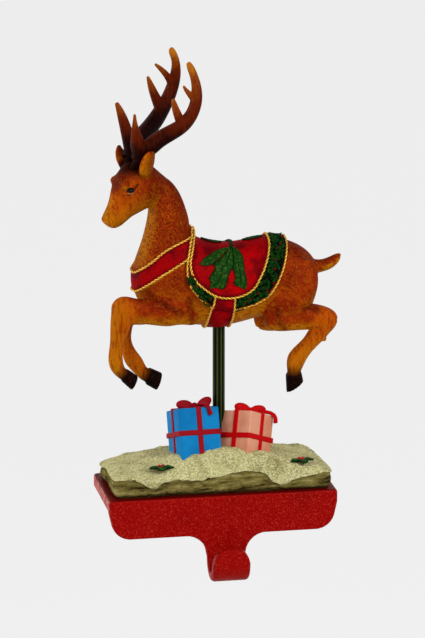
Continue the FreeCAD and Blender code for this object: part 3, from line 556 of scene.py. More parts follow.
@dataclass(frozen=True)
class EnamelFinish:
    """Red gloss over cast iron, whose fine pebbles show through, with painted glints on the pebbles' tops,
    painted shade in their hollows and a painted highlight on the side edges.

    Attributes:
        highlight_range: the noise's values where the painted highlight starts and is full.
        depth: the pebbles' depth in metres.
    """

    pebbles: Noise = Noise(1500.0, 2.0, 0.6)
    # Painted glints on the pebbles' tops, and painted shade in their hollows
    spark: Dab = Dab(Paint.IRON_GLINT, 0.56, 0.66, 0.5)
    pit_shade: Dab = Dab(Paint.IRON_RED_DEEP, 0.44, 0.3, 0.5)
    soft: Noise = Noise(30.0)
    deep: Dab = Dab(Paint.IRON_RED_DEEP, 0.5, 0.9)
    # Noise that breaks up the painted highlight on the side edges
    highlight_breaks: Noise = Noise(420.0, 4.0, 0.7)
    highlight_range: tuple = (0.42, 0.6)
    depth: float = 0.00035
    relief: float = 0.8
    rough: float = 0.36
    gloss: float = 0.03

    def make(self) -> bpy.types.Material:
        """Lays the red, the painted glints on the pebbles, the painted highlight on the side edges, the
        painted shade, and the painted shade in the pebbles' hollows.

        Returns:
            The material.
        """
        graph = Graph("red_enamel")
        pebbles = graph.noise(self.pebbles)
        colour = graph.dab(Paint.IRON_RED, graph.noise(self.soft), self.deep)
        # Painted glints on the pebbles' tops
        colour = graph.dab(colour, pebbles, self.spark)
        # Painted highlight on the side edges, broken up by noise
        wear_and_highlight = graph.math("MULTIPLY", graph.rise(graph.noise(self.highlight_breaks), *self.highlight_range),
                          graph.attribute("edge"))
        colour = graph.mix(wear_and_highlight, colour, Paint.IRON_HIGHLIGHT)
        colour = graph.mix(graph.attribute("shade"), colour, Paint.IRON_SHADE)
        # Painted shade in the pebbles' hollows
        colour = graph.dab(colour, pebbles, self.pit_shade)
        return graph.finish(colour, self.rough, self.gloss, graph.bump(pebbles, self.depth, self.relief))


@dataclass(frozen=True)
class PoleFinish:
    """Dark gloss with paler bands that run up the pole: painted highlights that stand in for the lamps'
    reflections.

    Attributes:
        middle: the pole's axis, in metres.
        bands: how many painted highlight bands there are round it.
        phase: the angle at which they start, in radians.
        pale: the painted highlight's paint, by the cosine of the banded angle.
    """

    middle: tuple = (0.00395, 0.004)
    bands: float = 10.0
    phase: float = 2.9
    # The painted highlight bands' paint
    pale: Dab = Dab(Paint.POLE_HIGHLIGHT, -0.2, 1.0, 0.8)
    rough: float = 0.25
    gloss: float = 0.05

    def make(self) -> bpy.types.Material:
        """Painted highlight bands by the cosine of the angle round the pole, times their number, plus the
        phase.

        Returns:
            The material.
        """
        graph = Graph("dark_gloss")
        centred = graph.add("ShaderNodeMapping", vector_type="POINT")
        centred.inputs["Location"].default_value = (-self.middle[0], -self.middle[1], 0)
        graph.join(graph.add("ShaderNodeTexCoord").outputs["Object"], centred.inputs["Vector"])
        parts = graph.add("ShaderNodeSeparateXYZ")
        graph.join(centred.outputs["Vector"], parts.inputs[0])
        angle = graph.math("ARCTAN2", parts.outputs["Y"], parts.outputs["X"])
        wave = graph.math("COSINE", graph.math("ADD", graph.math("MULTIPLY", angle, self.bands), self.phase))
        # Painted highlight bands over the dark gloss
        return graph.finish(graph.dab(Paint.POLE, wave, self.pale), self.rough, self.gloss)


class Coating(Enum):
    """The two-tone paints of the smaller pieces: tones, patches, grain, its depth, and roughness."""

    # The gold's shade weight is the ropes' groove: painted shade between the strands
    GOLD = PaintFinish("gold_rope", Paint.GOLD, Paint.GOLD_DEEP, 900.0, 2500.0, 0.00005, 0.38, 0.35,
                       low=0.5, high=0.8, shade="groove")
    LEAF = PaintFinish("holly_leaf", Paint.LEAF, Paint.LEAF_LIGHT, 700.0, 900.0, 0.0003, 0.45,
                       low=0.48, high=0.7, shade="tone", shade_paint=Paint.LEAF_DARK)
    GARLAND = PaintFinish("garland_leaf", Paint.LEAF_DARK, Paint.LEAF, 700.0, 900.0, 0.0001, 0.4,
                          low=0.44, high=0.66, shade="tone", shade_paint=Paint.LEAF)
    BERRY = PaintFinish("berry", Paint.RIBBON, Paint.BERRY, 300.0, 1200.0, 0.00004, 0.3, gloss=0.15)
    DARK_BERRY = PaintFinish("dark_berry", Paint.BERRY, Paint.SADDLE_DEEP, 300.0, 1200.0, 0.00004, 0.3)
    EYE = PaintFinish("eye", Paint.HOOF, Paint.HOOF, 300.0, 1200.0, 0.00001, 0.2, gloss=0.1)
    BLUE = PaintFinish("blue_wrap", Paint.BLUE, Paint.BLUE_DEEP, 60.0, 1400.0, 0.00012, 0.42)
    PINK = PaintFinish("pink_wrap", Paint.PINK, Paint.PINK_DEEP, 70.0, 1400.0, 0.00008, 0.5)
    BRIGHT_RIBBON = PaintFinish("bright_ribbon", Paint.RIBBON, Paint.RIBBON_DEEP, 160.0, 1400.0, 0.00008,
                                0.4, low=0.55, high=1.0)
    DARK_RIBBON = PaintFinish("dark_ribbon", Paint.RIBBON_DARK, Paint.RIBBON_DEEP, 160.0, 1400.0, 0.00008,
                              0.4, low=0.45, high=0.9)
    RUBBER = PaintFinish("rubber", Paint.RUBBER, Paint.HOOF, 200.0, 1800.0, 0.00008, 0.8)
    STEEL = PaintFinish("zinc_steel", Paint.STEEL, Paint.RUBBER, 90.0, 2000.0, 0.00002, 0.35, 0.9)


Finish = Union[CoatFinish, AntlerFinish, SnowRockFinish, EnamelFinish, PoleFinish, Coating]


# Curves and meshes
def smoothstep(value: Points, low: float, high: float) -> Points:
    """A smooth step from 0 at low to 1 at high: the share squared, times three less twice the share.

    Args:
        value: the values.
        low, high: where the step starts and ends.

    Returns:
        The step at each value.
    """
    share = np.clip((value - low) / (high - low), 0, 1)
    return share * share * (3 - 2 * share)


def resampled(points: Points, step: float, closed: bool = False) -> Points:
    """Points at even steps along a smooth curve through the given points.

    The curve's slope at a point is half the way from the point before to the point after.

    Args:
        points: the points, one row each.
        step: the spacing, rounded so that a whole number fits.
        closed: whether the curve runs back to its start.

    Returns:
        The new points, one row each.
    """
    points = np.asarray(points, float)
    start, end = (points[-1:], points[:2]) if closed else (points[:1], points[-1:])
    line = np.vstack([start, points, end])[:, None, :]
    before, first, second, after = (line[shift:len(line) - 3 + shift] for shift in range(4))
    share = np.linspace(0, 1, 12, endpoint=False)[None, :, None]
    curve = 0.5 * (2 * first + (second - before) * share
                   + (2 * before - 5 * first + 4 * second - after) * share ** 2
                   + (3 * first - before - 3 * second + after) * share ** 3)
    dense = curve.reshape(-1, points.shape[1])
    dense = np.vstack([dense, points[:1] if closed else points[-1:]])
    length = np.concatenate([[0], np.cumsum(np.linalg.norm(np.diff(dense, axis=0), axis=1))])
    steps = max(int(round(length[-1] / step)), 4)
    marks = np.linspace(0, length[-1], steps + 1)
    if closed:
        marks = marks[:-1]
    return np.stack([np.interp(marks, length, dense[:, axis]) for axis in range(points.shape[1])], axis=1)


def unit(vectors: Points) -> Points:
    """Vectors divided by their lengths."""
    return vectors / np.maximum(np.linalg.norm(vectors, axis=-1, keepdims=True), 1e-12)


def linked(name: str, data: bpy.types.ID) -> bpy.types.Object:
    """A new object in the scene.

    Args:
        name: its name.
        data: its mesh, camera or lamp.

    Returns:
        The object.
    """
    made = bpy.data.objects.new(name, data)
    bpy.context.scene.collection.objects.link(made)
    return made


def mesh_piece(name: str, points: Points, faces: Sequence, smooth: bool = True) -> bpy.types.Object:
    """A mesh object from points in metres, with its faces turned outwards.

    Args:
        name: the piece's name.
        points: one row each.
        faces: each face's corners, as indices of points.
        smooth: whether it is shaded smooth.

    Returns:
        The object, in the scene.
    """
    mesh = bpy.data.meshes.new(name)
    mesh.from_pydata(np.asarray(points, float).tolist(), [], [tuple(face) for face in faces])
    work = bmesh.new()
    work.from_mesh(mesh)
    bmesh.ops.recalc_face_normals(work, faces=work.faces)
    work.to_mesh(mesh)
    work.free()
    mesh.polygons.foreach_set("use_smooth", [smooth] * len(mesh.polygons))
    mesh.update()
    return linked(name, mesh)


class Builder:
    """Collects parts of one piece as points in millimetres and faces, with one number per point."""

    def __init__(self) -> None:
        """Starts with nothing."""
        self.points: list[Points] = []
        self.faces: list[tuple] = []
        self.tones: list[Points] = []
        self.count = 0

    def add(self, points: Points, faces: Iterable, tone: Tone = 0.0) -> None:
        """Adds a part.

        Args:
            points: its points, in millimetres.
            faces: each face's corners, as indices of its own points.
            tone: one number, or one for each point.
        """
        points = np.asarray(points, float).reshape(-1, 3)
        self.points.append(points)
        self.faces += [tuple(int(corner) + self.count for corner in face) for face in faces]
        self.tones.append(np.broadcast_to(np.asarray(tone, float).ravel(), len(points)).astype(float))
        self.count += len(points)

    def grid(self, rows: Points, closed: bool = False, capped: bool = False, tone: Tone = 0.0) -> None:
        """A sheet or tube from an array of rows of points, with flat caps if asked.

        Args:
            rows: the points, by row and column.
            closed: whether each row runs back to its start.
            capped: whether the first and the last row are closed by a face.
            tone: one number, or one for each point.
        """
        high, wide = rows.shape[:2]
        index = np.arange(high * wide).reshape(high, wide)
        here = index if closed else index[:, :-1]
        beside = np.roll(index, -1, axis=1) if closed else index[:, 1:]
        faces = np.stack([here[:-1], beside[:-1], beside[1:], here[1:]], axis=-1).reshape(-1, 4).tolist()
        if capped:
            faces += [index[0].tolist(), index[-1].tolist()]
        self.add(rows, faces, tone)

    def piece(self, name: str, attribute: Optional[str] = None) -> bpy.types.Object:
        """Makes the object from all the parts.

        Args:
            name: the piece's name.
            attribute: the name under which the tones are stored, if they are.

        Returns:
            The object, in the scene.
        """
        made = mesh_piece(name, np.vstack(self.points) * MM, self.faces)
        if attribute:
            put_attribute(made.data, attribute, np.concatenate(self.tones))
        return made


def put_attribute(mesh: bpy.types.Mesh, name: str, values: Points) -> None:
    """Stores one number for each point of a mesh under a name, for its finish.

    Args:
        mesh: the mesh.
        name: the weight's name.
        values: its value at each point.
    """
    layer = mesh.attributes.new(name, "FLOAT", "POINT")
    layer.data.foreach_set("value", np.asarray(values, np.float32))


def tube_rows(path: Points, reach: float, sides: int, normals: Points, closed: bool = False) -> Points:
    """Rings round a path.

    A ring's first direction is the normal less its part along the path.

    Args:
        path: the points of the path.
        reach: the rings' radius.
        sides: how many points a ring has.
        normals: the direction of each ring's first point.
        closed: whether the path runs back to its start.

    Returns:
        The points, by ring and by place in it.
    """
    ahead = np.roll(path, -1, axis=0) - np.roll(path, 1, axis=0)
    if not closed:
        ahead[0], ahead[-1] = path[1] - path[0], path[-1] - path[-2]
    along = unit(ahead)
    out = unit(normals - (normals * along).sum(1, keepdims=True) * along)
    side = np.cross(along, out)
    angles = np.linspace(0, 2 * math.pi, sides, endpoint=False)[None, :, None]
    return path[:, None, :] + reach * (out[:, None, :] * np.cos(angles) + side[:, None, :] * np.sin(angles))


@lru_cache(maxsize=None)
def material_of(finish: Finish) -> bpy.types.Material:
    """A finish's material, made once."""
    return (finish.value if isinstance(finish, Coating) else finish).make()


def own(piece: bpy.types.Object, finish: Finish, replaces: Sequence[str] = ()) -> None:
    """Gives a piece its finish and slot, lets it ride on the frame, and reports it.

    Args:
        piece: the piece.
        finish: its finish.
        replaces: the names of the CAD nodes whose place it takes.
    """
    piece.data.materials.clear()
    piece.data.materials.append(material_of(finish))
    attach(piece, ROOT)
    if replaces:
        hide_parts(*replaces)
    log.info("%s: %d points, %d faces", piece.name, len(piece.data.vertices), len(piece.data.polygons))


def read_vectors(data: bpy.types.bpy_prop_collection, name: str) -> Points:
    """One vector for each of a mesh's points.

    Args:
        data: the mesh's vertices or its vertex normals.
        name: the vector's name there.

    Returns:
        The vectors, one row each.
    """
    values = np.empty(len(data) * 3)
    data.foreach_get(name, values)
    return values.reshape(-1, 3)


def read_points(mesh: bpy.types.Mesh) -> Points:
    """The mesh's points, one row each."""
    return read_vectors(mesh.vertices, "co")


def read_normals(mesh: bpy.types.Mesh) -> Points:
    """The surface's direction at each of the mesh's points."""
    return read_vectors(mesh.vertex_normals, "vector")


def skin_of(node: bpy.types.Object, name: str, voxel: float, rounds: int, most: int) -> bpy.types.Object:
    """An even, softened skin over a CAD node, as a cast and painted surface has.

    Args:
        node: the CAD node, which isn't changed.
        name: the new piece's name.
        voxel: spacing of the new surface's points, in metres.
        rounds: how often the surface is smoothed.
        most: the largest number of triangles.

    Returns:
        The new piece, in the scene.
    """
    work = bmesh.new()
    work.from_mesh(node.data)
    bmesh.ops.remove_doubles(work, verts=work.verts, dist=1e-7)
    merged = bpy.data.meshes.new(name)
    work.to_mesh(merged)
    work.free()
    merged.materials.clear()
    draft = linked(name + "_draft", merged)
    remesh = draft.modifiers.new("even", "REMESH")
    remesh.mode = "VOXEL"
    remesh.voxel_size = voxel
    smoothing = draft.modifiers.new("soften", "SMOOTH")
    smoothing.factor = 0.5
    smoothing.iterations = rounds
    graph = bpy.context.evaluated_depsgraph_get()
    found = len(draft.evaluated_get(graph).data.polygons) * 2
    if found > most:
        thin = draft.modifiers.new("thin", "DECIMATE")
        thin.ratio = most / found
        graph = bpy.context.evaluated_depsgraph_get()
    mesh = bpy.data.meshes.new_from_object(draft.evaluated_get(graph))
    mesh.name = name
    bpy.data.objects.remove(draft)
    mesh.polygons.foreach_set("use_smooth", [True] * len(mesh.polygons))
    return linked(name, mesh)


def soften(mesh: bpy.types.Mesh, share: Points, rounds: int) -> None:
    """Moves each point by half its share towards the middle of its neighbours, again and again.

    Args:
        mesh: the mesh.
        share: how much each point moves, from 0 to 1.
        rounds: how often.
    """
    points = read_points(mesh)
    edges = np.empty(len(mesh.edges) * 2, int)
    mesh.edges.foreach_get("vertices", edges)
    first, second = edges.reshape(-1, 2).T
    near = (share[first] > 0) | (share[second] > 0)
    first, second = first[near], second[near]
    count = np.bincount(first, minlength=len(points)) + np.bincount(second, minlength=len(points))
    for _ in range(rounds):
        total = [np.bincount(first, points[second, axis], len(points))
                 + np.bincount(second, points[first, axis], len(points)) for axis in range(3)]
        middle = np.stack(total, axis=1) / np.maximum(count, 1)[:, None]
        points += 0.5 * share[:, None] * np.where(count[:, None] > 0, middle - points, 0)
    mesh.vertices.foreach_set("co", points.ravel())
    mesh.update()


# The photograph's camera
@dataclass(frozen=True)
class PhotoCamera:
    """Where the photograph was taken from, and its rays."""

    azimuth: float = -10.6
    elevation: float = 15.0
    distance: float = 2.5
    target: tuple = (-0.00115, 0.0, 0.104)
    focal_px: float = 4415.0
    photo_wide: int = 425
    photo_high: int = 638
    sensor: float = 36.0

    def axes(self) -> tuple[Vector, Vector, Vector]:
        """Right, up and back, as the camera sees them.

        Back has the sine of the turn and less its cosine, times the cosine of the rise, and the sine of
        the rise for its height.

        Returns:
            The three directions.
        """
        turn, rise = math.radians(self.azimuth), math.radians(self.elevation)
        back = Vector((math.sin(turn) * math.cos(rise), -math.cos(turn) * math.cos(rise), math.sin(rise)))
        right = Vector((math.cos(turn), math.sin(turn), 0))
        return right, back.cross(right), back

    def spot(self) -> Vector:
        """Where the camera stands: back from its target by its distance."""
        return Vector(self.target) + self.axes()[2] * self.distance

    def ray(self, across: float, down: float) -> Vector:
        """The direction of the ray through a pixel of the photograph.

        Args:
            across, down: the pixel.

        Returns:
            The direction, of length one.
        """
        right, up, back = self.axes()
        return (right * (across - self.photo_wide / 2) - up * (down - self.photo_high / 2)
                - back * self.focal_px).normalized()

    def place(self) -> None:
        """Puts the camera in the scene."""
        data = bpy.data.cameras.new("camera")
        data.sensor_width = self.sensor
        data.lens = self.focal_px / self.photo_high * self.sensor
        data.clip_start, data.clip_end = 0.1, 20.0
        camera = linked("camera", data)
        camera.location = self.spot()
        right, up, back = self.axes()
        camera.rotation_mode = "QUATERNION"
        camera.rotation_quaternion = Matrix((right, up, back)).transposed().to_quaternion()
        bpy.context.scene.camera = camera


CAMERA = PhotoCamera()


class Surface:
    """A finished skin that other pieces are laid on. Points are in the reindeer's millimetres."""

    def __init__(self, piece: bpy.types.Object, shift: Points) -> None:
        """Takes the skin's faces into a tree that rays can be cast at.

        Args:
            piece: the skin.
            shift: where the reindeer's origin is in the frame, in millimetres.
        """
        mesh = piece.data
        points = read_points(mesh) / MM - shift
        faces = [tuple(face.vertices) for face in mesh.polygons]
        self.tree = BVHTree.FromPolygons(points.tolist(), faces)
        self.eye = Vector(np.array(CAMERA.spot()) / MM - shift)

    def seen_at(self, pixel: Sequence[float]) -> Optional[Points]:
        """The point that the photograph's camera sees at a pixel.

        Args:
            pixel: across and down in the photograph.

        Returns:
            The point, or None past the outline.
        """
        hit = self.tree.ray_cast(self.eye, CAMERA.ray(*pixel))[0]
        return None if hit is None else np.array(hit)

    def trace(self, pixels: Iterable[Sequence[float]]) -> Points:
        """The points seen at a row of pixels. A pixel past the outline takes the nearest point.

        Args:
            pixels: across and down, for each.

        Returns:
            The points on the skin.
        """
        found = []
        for pixel in pixels:
            point = self.seen_at(pixel)
            if point is None:
                reach = (Vector(found[-1]) - self.eye).length if found else CAMERA.distance / MM
                point = np.array(self.tree.find_nearest(self.eye + CAMERA.ray(*pixel) * reach)[0])
            found.append(point)
        return np.array(found)

    def drop(self, points: Points, direction: Sequence[float], reach: float = 60.0) -> Points:
        """Each point moved on to the skin along a direction, started from outside it.

        Args:
            points: one row each.
            direction: the way that they move.
            reach: how far back they start.

        Returns:
            The points on the skin.
        """
        direction = Vector(direction).normalized()
        landed = []
        for point in points:
            hit = self.tree.ray_cast(Vector(point) - direction * reach, direction)[0]
            landed.append(np.array(self.tree.find_nearest(Vector(point))[0] if hit is None else hit))
        return np.array(landed)

    def settle(self, points: Points) -> tuple[Points, Points]:
        """The nearest points on the skin.

        Args:
            points: one row each.

        Returns:
            The points on the skin, and its direction at each.
        """
        places, normals = [], []
        for point in points:
            place, normal = self.tree.find_nearest(Vector(point))[:2]
            places.append(tuple(place))
            normals.append(tuple(normal))
        return np.array(places), np.array(normals)

    def across(self, first: Points, last: Points, direction: Sequence[float], count: int) -> Points:
        """Points on the skin between two of its points, reached from outside along one direction.

        Args:
            first, last: the two points.
            direction: the way from outside to the skin.
            count: how many points.

        Returns:
            The points on the skin, without the two.
        """
        shares = np.linspace(0, 1, count + 2)[1:-1, None]
        return self.drop(first + (last - first) * shares, direction)


def mirrored(points: Points) -> Points:
    """Points on the other side of the reindeer's middle plane."""
    return np.asarray(points) * np.array([1.0, -1.0, 1.0])


def distance_to_line(points: Points, line: Points) -> Points:
    """Distance from each point to a broken line, in two or three dimensions.

    On each piece of the line the nearest spot is the point's share along it, kept from 0 to 1.

    Args:
        points: one row each.
        line: the line's corners.

    Returns:
        The distances.
    """
    best = np.full(len(points), np.inf)
    for first, second in zip(line[:-1], line[1:]):
        run = second - first
        share = np.clip(((points - first) @ run) / max(run @ run, 1e-12), 0, 1)
        best = np.minimum(best, np.linalg.norm(points - first - share[:, None] * run, axis=1))
    return best


def distance_to_area(points: Points, corners: Points) -> Points:
    """Distance from flat points to a closed outline, below zero inside it.

    A point is inside where a ray from it crosses the outline an odd number of times.

    Args:
        points: one row each.
        corners: the outline's corners.

    Returns:
        The distances.
    """
    ring = np.vstack([corners, corners[:1]])
    far = distance_to_line(points, ring)
    inside = np.zeros(len(points), bool)
    for (x1, y1), (x2, y2) in zip(ring[:-1], ring[1:]):
        if y1 == y2:
            continue
        crosses = (points[:, 1] < y1) != (points[:, 1] < y2)
        inside ^= crosses & (points[:, 0] < (x2 - x1) * (points[:, 1] - y1) / (y2 - y1) + x1)
    return np.where(inside, -far, far)


def lumps(points: Points, scale: float, seed: int) -> Points:
    """Smooth value noise from -1 to 1: random numbers on a wrapped lattice, blended between its corners.

    Args:
        points: places, one row each.
        scale: the lattice's spacing, in the points' unit.
        seed: fixes the random numbers.

    Returns:
        The noise at each place.
    """
    lattice = np.random.default_rng(seed).uniform(-1, 1, (32, 32, 32))
    spot = points / scale
    cell = np.floor(spot).astype(int)
    share = spot - cell
    share = share * share * (3 - 2 * share)
    total = np.zeros(len(points))
    for corner in range(8):
        step = np.array([corner & 1, corner >> 1 & 1, corner >> 2 & 1])
        weight = np.prod(np.where(step, share, 1 - share), axis=1)
        index = (cell + step) % 32
        total += weight * lattice[index[:, 0], index[:, 1], index[:, 2]]
    return total


def rounded_box(wide: float, deep: float, high: float, radius: float) -> tuple[Points, list]:
    """A box centred on the origin with rounded edges.

    Each point is clamped into a box smaller by the radius, and pushed out from it by the radius.

    Args:
        wide, deep, high: the box's size.
        radius: the edges' radius.

    Returns:
        Points and faces.
    """
    half = np.array([wide, deep, high]) / 2
    edge = np.linspace(0, 1, 5)[:-1] * radius
    points, faces, count = [], [], 0
    for axis in range(3):
        first, second = (axis + 1) % 3, (axis + 2) % 3
        lines = []
        for other in (first, second):
            inner = half[other] - radius
            lines.append(np.concatenate([edge - half[other], np.linspace(-inner, inner, 9),
                                         half[other] - edge[::-1]]))
        across, along = np.meshgrid(lines[0], lines[1], indexing="ij")
        index = np.arange(across.size).reshape(across.shape)
        squares = np.stack([index[:-1, :-1], index[1:, :-1], index[1:, 1:], index[:-1, 1:]], axis=-1)
        for side in (-1, 1):
            sheet = np.zeros(across.shape + (3,))
            sheet[..., axis] = side * half[axis]
            sheet[..., first] = across
            sheet[..., second] = along
            flat = sheet.reshape(-1, 3)
            inner = np.clip(flat, -(half - radius), half - radius)
            points.append(inner + radius * unit(flat - inner))
            faces += (squares.reshape(-1, 4) + count).tolist()
            count += across.size
    return np.vstack(points), faces


# Paths drawn on the reindeer, in its own x and z. The first 13 points of the two areas are on its side.
SIDE_POINTS = 13
BLANKET = np.array([
    (-12.3, 158.0), (-15.0, 149.0), (-17.0, 141.2), (-15.9, 134.6), (-11.6, 129.0), (-3.1, 122.8),
    (4.3, 121.2), (12.0, 122.2), (18.6, 126.0), (23.0, 133.0), (26.4, 140.0), (29.2, 148.0),
    (31.0, 158.0), (10.0, 162.0),
])
BORDER = np.array([
    (-13.5, 158.0), (-16.5, 149.0), (-18.4, 139.5), (-17.4, 130.0), (-10.6, 120.6), (-4.2, 115.4),
    (6.6, 113.4), (16.9, 115.6), (26.6, 120.4), (32.8, 129.4), (37.0, 139.4), (40.2, 150.0),
    (42.0, 159.0), (10.0, 164.0),
])
GIRTH = np.array([(-3.6, 121.0), (-6.6, 104.6), (-6.6, 94.0), (6.8, 94.0), (7.6, 107.0), (8.8, 121.0)])
BREAST_STRAP = np.array([
    (-14.0, 155.5), (-28.7, 150.0), (-39.1, 141.7), (-48.0, 134.0), (-56.0, 130.0),
    (-56.0, 119.0), (-46.0, 122.8), (-41.5, 127.5), (-32.0, 134.7), (-18.5, 142.7), (-14.0, 145.5),
])
# Each tuft's x, z and radius
FUR_PATCHES = ((-23.5, 129.5, 7.0), (38.7, 129.4, 6.5))
# Lines in x and z along which painted shade darkens the coat, where the legs meet the body
CREASE_SHADE_LINES = (
    ((-40.0, 124.5), (-36.0, 120.5), (-30.0, 117.0), (-22.0, 113.0)),
    ((-17.5, 121.0), (-16.5, 114.0), (-15.5, 106.0)),
    ((33.0, 112.5), (33.5, 106.0), (37.5, 100.0)),
    ((56.5, 110.5), (52.0, 112.5), (48.0, 112.0)),
)
# Each hoof's and lower leg's y, and its path in x and z, down
HOOVES = (
    (-12.0, (-53.9, 77.0), (-48.2, 72.0)),
    (12.0, (-36.6, 69.0), (-29.9, 65.3)),
    (-12.5, (43.4, 72.4), (44.2, 65.1)),
    (12.5, (48.4, 66.4), (49.2, 59.1)),
)
LEGS = (
    (-12.0, ((-55.0, 114.0), (-57.0, 98.0), (-58.0, 86.0), (-53.0, 76.0))),
    (12.0, ((-46.0, 106.0), (-49.0, 94.0), (-47.5, 84.0), (-37.0, 69.0))),
    (-12.5, ((62.0, 104.0), (55.0, 92.0), (45.0, 82.0), (43.5, 70.0))),
    (12.5, ((67.0, 98.0), (60.0, 86.0), (50.0, 76.0), (48.5, 64.0))),
)
# Strokes on the face: how much further off each counts, and its path on the straight head
FACE_STROKES = (
    (0.0, (-58.0, 6.0, 181.5), (-54.5, 8.0, 182.0), (-50.0, 9.0, 187.5)),
    (0.15, (-41.5, 9.0, 181.0), (-43.5, 9.4, 177.0), (-47.0, 8.8, 173.5)),
)
# The ropes along the straps: path in the side view, and the way in which the part across lies on
STRAP_ROPES = (
    ("front_girth_rope", ((-3.0, 122.4), (-4.4, 116.0), (-5.6, 110.0), (-6.4, 104.0)), (0, 0, 1)),
    ("back_girth_rope", ((8.2, 121.0), (8.0, 115.0), (7.6, 109.0), (7.0, 103.6)), (0, 0, 1)),
    ("upper_breast_rope", ((-16.0, 154.2), (-28.9, 149.2), (-38.9, 141.0), (-46.8, 134.4)), (1, 0, 0)),
    ("lower_breast_rope", ((-17.6, 143.9), (-31.8, 135.4), (-41.2, 128.2), (-46.0, 123.8)), (1, 0, 0)),
)
ROPE_STEP = 0.42
# The saddle's holly: each leaf's two edges and the stem in the photograph's pixels
HOLLY_LEAVES = (
    (((230.9, 247.5), (222.8, 248.7), (214.4, 251.7), (208.3, 255.6), (203, 259), (200, 265.1)),
     ((230.5, 247.9), (223, 255), (216.7, 260.9), (212.9, 264), (206.8, 266.1), (200, 265.1))),
    (((230.5, 248.5), (222, 257), (216.7, 261.5), (212.9, 264.7), (214.8, 268.6), (208.3, 278.1),
      (210.6, 280.8), (209.5, 288.4), (210.6, 289.6)),
     ((231.5, 248.5), (233.6, 260.9), (232.8, 268.6), (229.7, 273.1), (227.8, 278.5),
      (225.9, 286.2), (224.4, 289.2), (219, 288.4), (213.7, 287.3), (210.6, 289.6))),
    (((232.4, 248.5), (233.6, 260.9), (232.8, 267.8), (235.1, 277.7), (233.6, 283.9),
      (241.2, 287.7), (245, 289.6)),
     ((233.6, 247.1), (238.9, 251), (242.7, 256.3), (243.9, 264), (245, 271.6),
      (246.9, 280.8), (246.6, 286.2), (245, 289.6))),
)
HOLLY_STEM = ((231.0, 249.0), (231.2, 246.0), (231.0, 243.2), (230.6, 241.4))
RIDGE_LEAVES = ((4.0, -8.0), (16.0, 27.5))
# A distance past every mark's reach
FAR_OFF = 9.0
HEAD_TURN = math.radians(18)
HEAD_PIVOT = np.array([-30.0, 0.0, 180.0])
EYE = np.array([-53.8, 7.2, 184.4])
DEER_SHIFT = np.array([0.75, 4.0, -1.0])
NEAR_TIPS = ((-20.4, -13.5, 255.0), (-24.9, -16.0, 242.6), (-32.2, -17.5, 236.2), (-52.2, -9.8, 228.0))
FAR_TIPS = ((-16.6, 13.5, 257.8), (-25.7, 16.0, 249.1), (-29.6, 17.5, 242.1), (-53.3, 10.0, 230.9))


def spun(points: Points, angle: float) -> Points:
    """Points turned about the upright axis: x and y are mixed by the angle's cosine and sine.

    Args:
        points: one row each.
        angle: the turn, in radians.

    Returns:
        The turned points.
    """
    cosine, sine = math.cos(angle), math.sin(angle)
    return points @ np.array([[cosine, -sine, 0], [sine, cosine, 0], [0, 0, 1]]).T


def head_places(points: Points) -> Points:
    """Points of the turned head, put back to where they are before the head turns."""
    return spun(points - HEAD_PIVOT, -HEAD_TURN) + HEAD_PIVOT


def turned_head(points: Points) -> Points:
    """Points of the straight head, turned with the head about its pivot."""
    return spun(points - HEAD_PIVOT, HEAD_TURN) + HEAD_PIVOT


